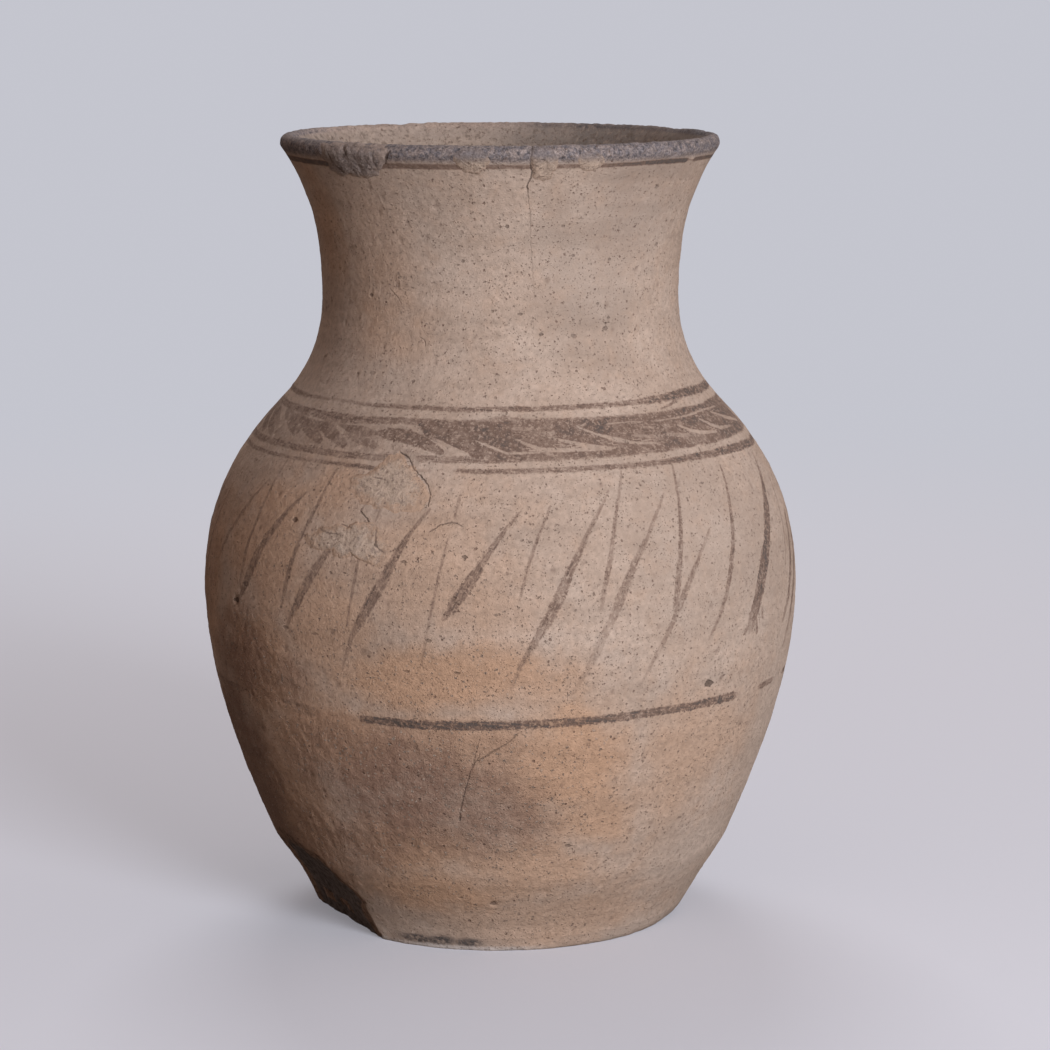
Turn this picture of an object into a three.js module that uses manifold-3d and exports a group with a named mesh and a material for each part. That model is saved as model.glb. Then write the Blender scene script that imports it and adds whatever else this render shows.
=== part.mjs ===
// A painted clay pot: flat foot, egg-shaped body, waisted neck and a flared mouth with a rolled lip.
// Millimetres, +Z up, origin at the centre of the foot. Azimuth 0 faces -Y and grows towards +X.
// The potter raises it in courses, each lapped over a tongue on the one below: base disc, lower body,
// belly, shoulder, neck and rim. Lime crusts lie on the shoulder and the lip.

import * as THREE from "three";
import { mergeVertices } from "three/addons/utils/BufferGeometryUtils.js";
import Module from "manifold-3d";

// The outer outline passes through six stations. Each has a height, a radius, the slope of the radius
// against the height, and the thickness of the wall there.
const footRadius = 72.3;
const footSlope = 0.15;
const footWall = 8.5;

const flankHeight = 33;
const flankRadius = 89.2;
const flankSlope = 0.43;
const flankWall = 7.5;

const bellyHeight = 128;
const bellyRadius = 114.2;
const bellyWall = 6.5;

const shoulderHeight = 197;
const shoulderRadius = 85.8;
const shoulderSlope = -0.96;
const shoulderWall = 7;

const waistHeight = 239.7;
const waistRadius = 67.9;
const waistWall = 6.5;

const potHeight = 300;
const mouthRadius = 83.4;
const lipBeadRadius = 3;
const flareSlope = 0.68;

// Where one course ends and the next begins, and the lap between them.
const baseSeamHeight = 5;
const lowSeamHeight = 95.5;
const shoulderSeamHeight = 184.8;
const neckSeamHeight = 205;
const rimDepth = 9.5;
const lapHeight = 4;
const rimLapHeight = 2.5;
const lapClearance = 0.3;

// The flake that is broken off the foot leaves one slanting face.
const chipAzimuth = -64;
const chipDepth = 7.9;
const chipHeight = 42;

// Lime crusts. A height is that of a crust's middle, and a drop is its middle's depth below the lip's
// crest. The width runs round the pot and tall runs up it.
const crustClearance = 0.3;
const crustEdge = 0.4;

const upperCrustHeight = 179.5;
const upperCrustWidth = 35;
const upperCrustTall = 20;
const upperCrustThickness = 1.2;

const lowerCrustHeight = 159;
const lowerCrustWidth = 40;
const lowerCrustTall = 15;
const lowerCrustThickness = 1;

const leftCrustDrop = 7;
const leftCrustWidth = 35;
const leftCrustTall = 12;
const leftCrustThickness = 1.8;

const centreCrustDrop = 6;
const centreCrustWidth = 18;
const centreCrustTall = 9;
const centreCrustThickness = 1.4;

const crackCrustDrop = 7.2;
const crackCrustWidth = 10.5;
const crackCrustTall = 12;
const crackCrustThickness = 1.4;

const rightCrustDrop = 5.6;
const rightCrustWidth = 16;
const rightCrustTall = 7.6;
const rightCrustThickness = 1.1;

const crusts = [
  {
    name: "shoulder_crust_upper",
    azimuth: -23.5,
    height: upperCrustHeight,
    width: upperCrustWidth,
    tall: upperCrustTall,
    thickness: upperCrustThickness,
    onLip: false,
  },
  {
    name: "shoulder_crust_lower",
    azimuth: -30,
    height: lowerCrustHeight,
    width: lowerCrustWidth,
    tall: lowerCrustTall,
    thickness: lowerCrustThickness,
    onLip: false,
  },
  {
    name: "rim_crust_left",
    azimuth: -41,
    height: potHeight - leftCrustDrop,
    width: leftCrustWidth,
    tall: leftCrustTall,
    thickness: leftCrustThickness,
    onLip: true,
  },
  {
    name: "rim_crust_centre",
    azimuth: -6,
    height: potHeight - centreCrustDrop,
    width: centreCrustWidth,
    tall: centreCrustTall,
    thickness: centreCrustThickness,
    onLip: true,
  },
  {
    name: "rim_crust_crack",
    azimuth: 11.4,
    height: potHeight - crackCrustDrop,
    width: crackCrustWidth,
    tall: crackCrustTall,
    thickness: crackCrustThickness,
    onLip: true,
  },
  {
    name: "rim_crust_right",
    azimuth: 23.8,
    height: potHeight - rightCrustDrop,
    width: rightCrustWidth,
    tall: rightCrustTall,
    thickness: rightCrustThickness,
    onLip: true,
  },
];

// A crust's edge has three main lobes. Their turn is measured in the skin, from its level line upwards.
const crustLobe = 0.13;
const crustRipple = 0.07;
const shoulderLobeTurn = 60;
const rimLobeTurn = -90;

// How finely the round forms are divided.
const sectors = 60;
const ringStep = 12;
const beadSteps = 4;
const crustRings = 3;
const crustSectors = 20;

const wasm = await Module();
wasm.setup();

const clay = new THREE.MeshStandardMaterial({ color: 0xb09480, roughness: 0.92, metalness: 0 });
const baseClay = new THREE.MeshStandardMaterial({ color: 0xa08a76, roughness: 0.95, metalness: 0 });
const rimClay = new THREE.MeshStandardMaterial({ color: 0x857a75, roughness: 0.9, metalness: 0 });
const lime = new THREE.MeshStandardMaterial({ color: 0x9a9086, roughness: 0.97, metalness: 0 });

// The lip's round bead touches the flare of the neck where both have the flare's slope.
const flareAngle = Math.atan(flareSlope);
const bead = { radius: mouthRadius - lipBeadRadius, height: potHeight - lipBeadRadius };

const stations = [
  { height: 0, radius: footRadius, slope: footSlope, wall: footWall },
  { height: flankHeight, radius: flankRadius, slope: flankSlope, wall: flankWall },
  { height: bellyHeight, radius: bellyRadius, slope: 0, wall: bellyWall },
  { height: shoulderHeight, radius: shoulderRadius, slope: shoulderSlope, wall: shoulderWall },
  { height: waistHeight, radius: waistRadius, slope: 0, wall: waistWall },
  {
    height: bead.height - lipBeadRadius * Math.sin(flareAngle),
    radius: bead.radius + lipBeadRadius * Math.cos(flareAngle),
    slope: flareSlope,
    wall: 2 * lipBeadRadius,
  },
];
const lipStation = stations[stations.length - 1];

// The smooth wall at a height: a cubic between the two stations round it, with their radii and slopes.
// Above the last station the flare runs on straight.
function wallAt(height) {
  if (height >= lipStation.height) {
    const radius = lipStation.radius + flareSlope * (height - lipStation.height);
    return { radius, slope: flareSlope, wall: lipStation.wall };
  }
  const above = stations.findIndex((station) => station.height > height);
  const low = stations[above - 1];
  const high = stations[above];
  const span = high.height - low.height;
  const t = (height - low.height) / span;
  const radius =
    (2 * t ** 3 - 3 * t ** 2 + 1) * low.radius +
    (t ** 3 - 2 * t ** 2 + t) * span * low.slope +
    (3 * t ** 2 - 2 * t ** 3) * high.radius +
    (t ** 3 - t ** 2) * span * high.slope;
  const slope =
    ((6 * t ** 2 - 6 * t) * (low.radius - high.radius)) / span +
    (3 * t ** 2 - 4 * t + 1) * low.slope +
    (3 * t ** 2 - 2 * t) * high.slope;
  return { radius, slope, wall: low.wall + (high.wall - low.wall) * t };
}

const outerRadius = (height) => wallAt(height).radius;

// The wall keeps its thickness square to its face, so a level cut through a leaning wall is wider.
function innerRadius(height) {
  const { radius, slope, wall } = wallAt(height);
  return radius - wall * Math.hypot(1, slope);
}

const middleRadius = (height) => (outerRadius(height) + innerRadius(height)) / 2;

// The skin is the wall with the lip's bead on top of it.
function skinAt(height) {
  if (height < lipStation.height) {
    const { radius, slope } = wallAt(height);
    return { radius, slope };
  }
  const rise = height - bead.height;
  const reach = Math.sqrt(lipBeadRadius ** 2 - rise ** 2);
  return { radius: bead.radius + reach, slope: -rise / reach };
}

// Points of one side of the wall from one height to another, in steps of about ringStep.
function side(radiusAt, from, to) {
  const steps = Math.max(1, Math.round(Math.abs(to - from) / ringStep));
  return Array.from({ length: steps + 1 }, (_, i) => {
    const height = from + ((to - from) * i) / steps;
    return new THREE.Vector2(radiusAt(height), height);
  });
}

// The top of a course: a level ledge at the seam and a tongue that takes up the inner half of the wall.
function tongue(seam, lap) {
  return [
    new THREE.Vector2(middleRadius(seam), seam),
    new THREE.Vector2(middleRadius(seam + lap), seam + lap),
  ];
}

// The bottom of the course above: the same step, kept clear of the tongue, met from inside outwards.
function rebate(seam, lap) {
  const ceiling = seam + lap + lapClearance;
  return [
    new THREE.Vector2(middleRadius(ceiling) + lapClearance, ceiling),
    new THREE.Vector2(middleRadius(seam) + lapClearance, seam),
  ];
}

// A solid of revolution about Z from an outline of radius and height.
function revolve(points) {
  const geometry = new THREE.LatheGeometry(points, sectors);
  geometry.rotateX(Math.PI / 2);
  return geometry;
}

function baseDiscGeometry() {
  const top = baseSeamHeight + lapHeight;
  return revolve([
    new THREE.Vector2(0, 0),
    ...side(outerRadius, 0, baseSeamHeight),
    ...tongue(baseSeamHeight, lapHeight),
    new THREE.Vector2(0, top),
  ]);
}

// A course between two seams, each with its lap: up the outside, over the tongue and down the inside.
function courseGeometry(low, high) {
  const ceiling = low.seam + low.lap + lapClearance;
  const outside = side(outerRadius, low.seam, high.seam);
  const inside = side(innerRadius, high.seam + high.lap, ceiling);
  const points = [...outside, ...tongue(high.seam, high.lap), ...inside, ...rebate(low.seam, low.lap)];
  return revolve([...points, outside[0]]);
}

// Points on the lip's bead from one angle to another, past the first; the angle is from level upwards.
function beadArc(from, to) {
  return Array.from({ length: beadSteps }, (_, i) => {
    const angle = from + ((to - from) * (i + 1)) / beadSteps;
    const radius = bead.radius + lipBeadRadius * Math.cos(angle);
    return new THREE.Vector2(radius, bead.height + lipBeadRadius * Math.sin(angle));
  });
}

// The rim is the top course: its outside rolls over the bead and comes down inside the mouth.
function rimGeometry(low) {
  const ceiling = low.seam + low.lap + lapClearance;
  const outside = side(outerRadius, low.seam, lipStation.height);
  const roll = [...beadArc(-flareAngle, Math.PI / 2), ...beadArc(Math.PI / 2, Math.PI - flareAngle)];
  const inside = side(innerRadius, roll[roll.length - 1].y, ceiling).slice(1);
  return revolve([...outside, ...roll, ...inside, ...rebate(low.seam, low.lap), outside[0]]);
}

// A closed solid for cutting, from a geometry whose equal points are first made one.
function solidOf(geometry) {
  const bare = geometry.clone();
  bare.deleteAttribute("normal");
  bare.deleteAttribute("uv");
  const merged = mergeVertices(bare, 1e-4);
  const index = merged.index.array;
  const corners = [];
  for (let i = 0; i < index.length; i += 3) {
    const [a, b, c] = [index[i], index[i + 1], index[i + 2]];
    if (a !== b && b !== c && c !== a) corners.push(a, b, c);
  }
  const vertProperties = new Float32Array(merged.attributes.position.array);
  return new wasm.Manifold(new wasm.Mesh({ numProp: 3, vertProperties, triVerts: new Uint32Array(corners) }));
}

function geometryOf(solid) {
  const mesh = solid.getMesh();
  const geometry = new THREE.BufferGeometry();
  geometry.setAttribute("position", new THREE.BufferAttribute(new Float32Array(mesh.vertProperties), 3));
  geometry.setIndex(new THREE.BufferAttribute(new Uint32Array(mesh.triVerts), 1));
  geometry.computeVertexNormals();
  return geometry;
}

// The flake: all that lies beyond a flat face, which leans out from the foot to the skin at chipHeight.
function flakeSolid() {
  const footDistance = footRadius - chipDepth;
  const topDistance = outerRadius(chipHeight);
  const lean = Math.atan2(topDistance - footDistance, chipHeight);
  const reach = 1.8 * chipHeight;
  const block = new THREE.BoxGeometry(footRadius, 3 * footRadius, 2 * reach);
  block.translate(footRadius / 2, 0, 0);
  block.rotateY(lean);
  block.translate(footDistance, 0, 0);
  block.rotateZ(THREE.MathUtils.degToRad(chipAzimuth - 90));
  return solidOf(block);
}

function chipped(geometry) {
  return geometryOf(solidOf(geometry).subtract(flakeSolid()));
}

// A point off the pot's skin, out along the skin's own normal.
function offSkin(azimuth, height, distance) {
  const { radius, slope } = skinAt(height);
  const length = Math.hypot(1, slope);
  const r = radius + distance / length;
  const z = height - (distance * slope) / length;
  return [r * Math.sin(azimuth), -r * Math.cos(azimuth), z];
}

// A crust: a low dome on the skin, with a lobed edge. Its rings run from the middle to the edge, on the
// outer face and again on the inner face, which follows the skin.
function crustGeometry({ azimuth, height, width, tall, thickness, lobeTurn }) {
  const middle = THREE.MathUtils.degToRad(azimuth);
  const turn = THREE.MathUtils.degToRad(lobeTurn);
  const positions = [];
  const addPoint = (share, angle, distance) => {
    const lobes = crustLobe * Math.cos(3 * (angle - turn)) + crustRipple * Math.cos(7 * angle);
    const edge = (share * (1 + lobes)) / (1 + crustLobe);
    const across = (width / 2) * edge * Math.cos(angle);
    const level = height + (tall / 2) * edge * Math.sin(angle);
    positions.push(...offSkin(middle + across / skinAt(level).radius, level, distance));
  };
  const domeAt = (share) => crustClearance + crustEdge + (thickness - crustEdge) * (1 - share ** 2);
  for (const face of ["outer", "inner"]) {
    const distanceAt = face === "outer" ? domeAt : () => crustClearance;
    addPoint(0, 0, distanceAt(0));
    for (let ring = 1; ring <= crustRings; ring += 1) {
      for (let i = 0; i < crustSectors; i += 1) {
        const share = ring / crustRings;
        addPoint(share, (2 * Math.PI * i) / crustSectors, distanceAt(share));
      }
    }
  }
  const facePoints = 1 + crustRings * crustSectors;
  const pointAt = (face, ring, i) =>
    face * facePoints + (ring === 0 ? 0 : 1 + (ring - 1) * crustSectors + (i % crustSectors));
  const triangles = [];
  for (let i = 0; i < crustSectors; i += 1) {
    triangles.push(pointAt(0, 0, 0), pointAt(0, 1, i), pointAt(0, 1, i + 1));
    triangles.push(pointAt(1, 0, 0), pointAt(1, 1, i + 1), pointAt(1, 1, i));
    for (let ring = 1; ring < crustRings; ring += 1) {
      const [a, b] = [pointAt(0, ring, i), pointAt(0, ring, i + 1)];
      const [c, d] = [pointAt(0, ring + 1, i), pointAt(0, ring + 1, i + 1)];
      triangles.push(a, c, d, a, d, b);
      triangles.push(
        a + facePoints, d + facePoints, c + facePoints,
        a + facePoints, b + facePoints, d + facePoints,
      );
    }
    const [e, f] = [pointAt(0, crustRings, i), pointAt(0, crustRings, i + 1)];
    triangles.push(e, e + facePoints, f + facePoints, e, f + facePoints, f);
  }
  const geometry = new THREE.BufferGeometry();
  geometry.setAttribute("position", new THREE.Float32BufferAttribute(positions, 3));
  geometry.setIndex(triangles);
  geometry.computeVertexNormals();
  return geometry;
}

const seams = {
  base: { seam: baseSeamHeight, lap: lapHeight },
  low: { seam: lowSeamHeight, lap: lapHeight },
  shoulder: { seam: shoulderSeamHeight, lap: lapHeight },
  neck: { seam: neckSeamHeight, lap: lapHeight },
  rim: { seam: potHeight - rimDepth, lap: rimLapHeight },
};

const group = new THREE.Group();

function addPiece(name, geometry, material) {
  const mesh = new THREE.Mesh(geometry, material);
  mesh.name = name;
  group.add(mesh);
}

addPiece("base_disc", chipped(baseDiscGeometry()), baseClay);
addPiece("lower_body", chipped(courseGeometry(seams.base, seams.low)), clay);
addPiece("belly", courseGeometry(seams.low, seams.shoulder), clay);
addPiece("shoulder", courseGeometry(seams.shoulder, seams.neck), clay);
addPiece("neck", courseGeometry(seams.neck, seams.rim), clay);
addPiece("rim", rimGeometry(seams.rim), rimClay);

for (const crust of crusts) {
  const lobeTurn = crust.onLip ? rimLobeTurn : shoulderLobeTurn;
  addPiece(crust.name, crustGeometry({ ...crust, lobeTurn }), lime);
}

export default group;
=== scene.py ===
"""A wheel-thrown, brush-painted clay pot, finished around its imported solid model.

Every wall of the pot is a surface of revolution worked out on a grid of heights and azimuths, then
pushed in and out by wheel marks, grit, pits, dents, cracks and a broken foot. The painting is stored on
the same grid as distances from brush lines, which the materials turn into worn paint.

Azimuths are in degrees, 0 facing -Y and growing towards +X. Heights and lengths are in millimetres
unless a property says otherwise.
"""

import itertools
import math

import bpy
import numpy as np
from bpy.props import FloatProperty, FloatVectorProperty, IntProperty, PointerProperty
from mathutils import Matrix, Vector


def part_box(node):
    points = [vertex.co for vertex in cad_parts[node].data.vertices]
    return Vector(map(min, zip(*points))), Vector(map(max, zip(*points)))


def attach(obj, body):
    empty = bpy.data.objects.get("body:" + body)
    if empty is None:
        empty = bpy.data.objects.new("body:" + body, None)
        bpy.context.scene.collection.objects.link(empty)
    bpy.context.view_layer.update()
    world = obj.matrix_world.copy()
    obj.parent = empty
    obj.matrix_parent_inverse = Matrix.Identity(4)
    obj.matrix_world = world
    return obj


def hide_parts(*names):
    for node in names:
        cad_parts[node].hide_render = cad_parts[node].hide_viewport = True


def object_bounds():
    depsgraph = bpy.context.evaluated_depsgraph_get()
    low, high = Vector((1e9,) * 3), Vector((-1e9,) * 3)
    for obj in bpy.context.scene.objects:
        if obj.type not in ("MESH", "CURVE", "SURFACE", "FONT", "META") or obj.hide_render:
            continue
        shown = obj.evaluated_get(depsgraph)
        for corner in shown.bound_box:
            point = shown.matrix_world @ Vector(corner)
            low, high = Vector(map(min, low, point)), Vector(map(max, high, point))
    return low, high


bl_info = {
    "name": "Painted clay pot",
    "version": (1, 0, 0),
    "blender": (4, 5, 0),
    "location": "3D View > Sidebar > Clay Pot",
    "description": "Builds a thrown clay pot with brush painting, lime crusts, cracks and wear",
    "category": "Object",
}

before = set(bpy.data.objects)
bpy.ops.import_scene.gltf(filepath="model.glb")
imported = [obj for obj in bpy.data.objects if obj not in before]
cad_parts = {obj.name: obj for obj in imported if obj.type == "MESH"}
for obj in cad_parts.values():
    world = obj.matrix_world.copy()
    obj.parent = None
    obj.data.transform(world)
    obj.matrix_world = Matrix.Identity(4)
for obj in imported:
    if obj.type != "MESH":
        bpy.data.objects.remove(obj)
cad_low, cad_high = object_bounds()

BODY = "root"
METRES = 0.001

# Which face of the wall a row of the grid is on.
JOINT = 0
OUTSIDE = 1
INSIDE = 2

# The laps between the courses.
LAP_HEIGHT = 4.0
RIM_LAP_HEIGHT = 2.5
LAP_CLEARANCE = 0.02

# Spacing of the grid's rows, along the wall.
OUTER_STEP = 1.0
SHOULDER_STEP = 0.7
NECK_STEP = 1.1
INNER_STEP = 8.0
NECK_INNER_STEP = 3.6
LIP_STEP = 0.55
FLOOR_STEP = 5.0
FOOT_EDGE_INSETS = (1.2, 0.5)
FOOT_EDGE_ROWS = 10

# How far beyond a mark's edge its values are kept, and how far marks are looked for.
MARK_FADE = 1.6
RING_FADE = 1.2
MARK_REACH = 4.0

# The flake broken off the foot: a slanting face that leans out from the foot to the skin.
CHIP_AZIMUTH = -64.0
CHIP_DISTANCE = 64.4
CHIP_LEAN = 0.5
CHIP_BEND_HEIGHT = 15.0
CHIP_UPPER_LEAN = 0.34

# The foot's worn side: its middle and half width in degrees, how high the corner's and the slope's wear
# reach, and how deep the slope's goes.
WORN_AZIMUTH = 82
WORN_SPREAD = 44
WORN_CORNER_HEIGHT = 2.6
WORN_SLOPE_HEIGHT = 13.0
WORN_SLOPE_DEPTH = 2.3

# The slab's underside: the height of the ridge left by the cutting wire, how far out it moves in a turn,
# how far the middle is hollowed, and the width of the ring that the pot stands on.
WIRE_RIDGE = 0.25
WIRE_PITCH = 7
FOOT_HOLLOW = 0.3
FOOT_RING = 4

# Rings of brown slip round the pot. Each row is azimuth, height, half width in height, and ink.
LIP_RING = [
    (-180, 292, 0.8, 0.9), (-76, 292, 1.05, 1.25), (-64, 291.9, 1.05, 1.3),
    (-52, 291.8, 1.05, 1.35), (-29, 291.9, 0.95, 1.05), (-15, 292.2, 1, 1), (-1, 292.5, 0.8, 0.95),
    (20, 292.5, 0.75, 0.95), (30, 292.4, 0.7, 1.3), (42, 292.6, 0.8, 1.5), (50, 292.6, 0.95, 1.7),
    (57.5, 292.6, 0.85, 1.7), (59, 292.7, 0.35, 0.7), (60.5, 292.7, 0.3, 0.6), (62.5, 292.5, 0.8, 1.2),
    (76, 292.4, 0.8, 1.4),
]
UPPER_LINE = [
    (-180, 204.6, 0.6, 0.7), (-83, 204, 0.8, 0.95), (-66, 204.3, 0.75, 0.9), (-56, 204.7, 0.5, 0.5),
    (-42, 204.7, 0.5, 0.55), (-33, 204.5, 0.65, 0.85), (-20, 204.6, 0.85, 1), (9, 205, 0.85, 0.95),
    (40, 205.3, 0.95, 1), (46, 205.2, 1.25, 1.25), (61, 205.7, 1.45, 1.35), (82, 205.1, 1.3, 1.35),
    (110, 204.8, 0.8, 0.8),
]
FRIEZE_TOP = [
    (-180, 200.2, 1, 0.8), (-78, 199.5, 1.1, 0.85), (-48, 199.8, 1.15, 0.95), (-39, 199.4, 1.2, 1),
    (-24, 200.1, 1.05, 0.9), (-11, 200.2, 1.1, 0.95), (-3, 200.7, 1, 0.9), (1, 201.6, 1.25, 0.95),
    (5, 201, 1, 0.9), (20, 200.6, 1, 0.8), (44, 200.5, 0.8, 0.8), (58, 200.7, 0.55, 0.95),
    (76, 200.2, 0.8, 1),
]
FRIEZE_FOOT = [
    (-180, 188.6, 1.1, 0.8), (-92, 186.8, 1.1, 0.8), (-62, 187.9, 1.15, 0.8), (-34, 187.9, 1.2, 0.85),
    (-25, 188.1, 1.1, 0.75), (-23.5, 188.2, 0, 0), (-20, 188.3, 0, 0), (-18.5, 188.4, 1.1, 0.8),
    (-10, 188.4, 1.2, 0.85), (8, 189.1, 1.2, 0.85), (25, 189.3, 1.1, 0.8), (41, 189.6, 1.2, 0.85),
    (58, 190, 1.3, 0.9), (84, 189.6, 1.2, 0.9),
]
LOWER_LINE = [
    (-180, 184.8, 0.7, 0.75), (-100, 183.4, 0.7, 0.8), (-68, 183.9, 0.65, 0.8),
    (-49, 184.4, 0.55, 0.65), (-37, 184.6, 0.7, 1), (-24, 184.3, 0.75, 1), (-22, 184.2, 0, 0),
    (-18.5, 184.6, 0, 0), (-17.5, 184.7, 0.45, 0.5), (-15, 184.7, 0.4, 0.4), (-14, 184.7, 0, 0),
    (-11, 184.6, 0, 0), (-9.5, 184.6, 0.75, 0.9), (4, 184.8, 0.85, 0.9), (20, 185.1, 0.85, 0.95),
    (37, 185.1, 0.9, 1), (49, 185.3, 1.05, 1.15), (62, 185.4, 1.3, 1.4), (78, 184.2, 1.3, 1.35),
    (110, 184.4, 0.8, 0.8),
]
LOW_LINE = [
    (-180, 95.4, 1.2, 0.7), (-150, 95, 1.4, 0.85), (-100, 95.4, 0.8, 0.4), (-80, 95.8, 0.9, 0.5),
    (-62, 96.6, 0.8, 0.7), (-57, 96.2, 0, 0), (-28, 94.6, 0, 0), (-27.4, 94.6, 1.4, 1.3),
    (-15, 94.4, 1.7, 1.45), (-4, 94.7, 1.8, 1.4), (7, 95.2, 1.55, 1.27), (19, 95.8, 1.5, 1.27),
    (31, 96.3, 1.55, 1.32), (41, 96.7, 1.65, 1.25), (51, 97, 1.6, 1.1), (53, 97, 0, 0),
    (59, 97.2, 0, 0), (61, 97.3, 1.2, 0.95), (67, 97.4, 1.2, 0.95), (69, 97.4, 0, 0),
    (73, 97.4, 0, 0), (76, 97.3, 1.2, 1), (90, 96.9, 1.5, 0.95), (130, 95.8, 1.3, 0.85),
]
# Rings are kept in two sets, so that no two neighbours share a field.
RINGS = [LIP_RING, FRIEZE_TOP, LOWER_LINE]
OTHER_RINGS = [UPPER_LINE, FRIEZE_FOOT, LOW_LINE]

# Slanting strokes on the belly, as paths of azimuth, height, half width and ink.
BROAD_STROKES = [
    [(-57.5, 174.5, 0.5, 0.55), (-62.3, 163, 0.9, 0.7), (-66.9, 151, 0.9, 0.7),
     (-69.5, 143, 0.5, 0.4)],
    [(-43.4, 174, 0.6, 0.65), (-47, 166.5, 1, 0.8), (-50.4, 158, 1.6, 0.85),
     (-52.9, 150, 2.1, 0.8), (-55.4, 140, 2, 0.8), (-57.2, 134, 1.1, 0.65),
     (-59.3, 129.5, 0.6, 0.45)],
    [(-34.3, 154.8, 1.4, 0.8), (-36.4, 149, 1.8, 0.9), (-38.8, 141, 2.05, 0.95),
     (-40.7, 134, 1.6, 0.95), (-41.8, 130.5, 0.9, 0.7), (-43.2, 125.2, 0.6, 0.45)],
    [(-13.8, 172.5, 0.45, 0.7), (-17, 165, 0.8, 0.85), (-19.2, 158, 1.2, 0.95),
     (-21.8, 147, 1.9, 1), (-24, 139.5, 2.3, 1), (-26.2, 131.5, 1.8, 0.95),
     (-27.9, 126, 0.95, 0.75), (-29, 120, 0.8, 0.5), (-30.3, 113, 0.5, 0.3)],
    [(3.9, 171.5, 0.45, 0.7), (0.9, 165.5, 0.75, 0.85), (-2.1, 158, 1.2, 0.95),
     (-5, 149, 1.9, 0.95), (-7.2, 143, 2.2, 0.95), (-8.9, 137.5, 1.8, 0.9),
     (-10.3, 134.2, 0.8, 0.65)],
    [(22.5, 177.5, 0.4, 0.7), (17.5, 165.5, 0.8, 0.8), (15, 158, 1.1, 0.85),
     (12.8, 151, 1.5, 0.9), (10.6, 141.5, 2.05, 0.92), (8.4, 133.5, 1.9, 0.88),
     (5.8, 125, 1.4, 0.8), (3.6, 117.5, 1, 0.72), (1.9, 109, 0.5, 0.45)],
    [(35, 174.5, 0.4, 0.55), (31, 166, 0.7, 0.65), (27.8, 158, 0.95, 0.7),
     (25.4, 152, 1.25, 0.72), (22.9, 143, 1.9, 0.66), (21, 135, 1.7, 0.6),
     (19.2, 128.5, 1.5, 0.55), (17.6, 121.5, 1.7, 0.55), (15.6, 114, 0.9, 0.45),
     (13.3, 106, 0.5, 0.28)],
    [(44.2, 160.5, 0.5, 0.55), (40.6, 153, 0.8, 0.7), (38, 146, 1.1, 0.75),
     (35.4, 138.5, 1.5, 0.75), (33.2, 130.5, 1.05, 0.6), (31.2, 123.5, 1.05, 0.58),
     (29.3, 117.5, 0.85, 0.5), (27, 109, 0.5, 0.3)],
    [(74.8, 181, 0.6, 0.6), (71.6, 173, 1.2, 1), (69, 167.5, 1.7, 1.15),
     (66.2, 161, 2.5, 1.3), (63.2, 153, 2.5, 1.35), (60.6, 146.5, 3.1, 1.4),
     (58.2, 138.5, 3.2, 1.35), (56.2, 131, 2.9, 1.2), (54.6, 125.5, 2.9, 0.8),
     (54, 122.5, 2.4, 0.5)],
    [(80, 158, 1.1, 0.9), (77.5, 148, 1.7, 1), (75, 138, 1.8, 1.05),
     (72.5, 128, 1.7, 0.95), (69, 120, 1.1, 0.6)],
]
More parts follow.
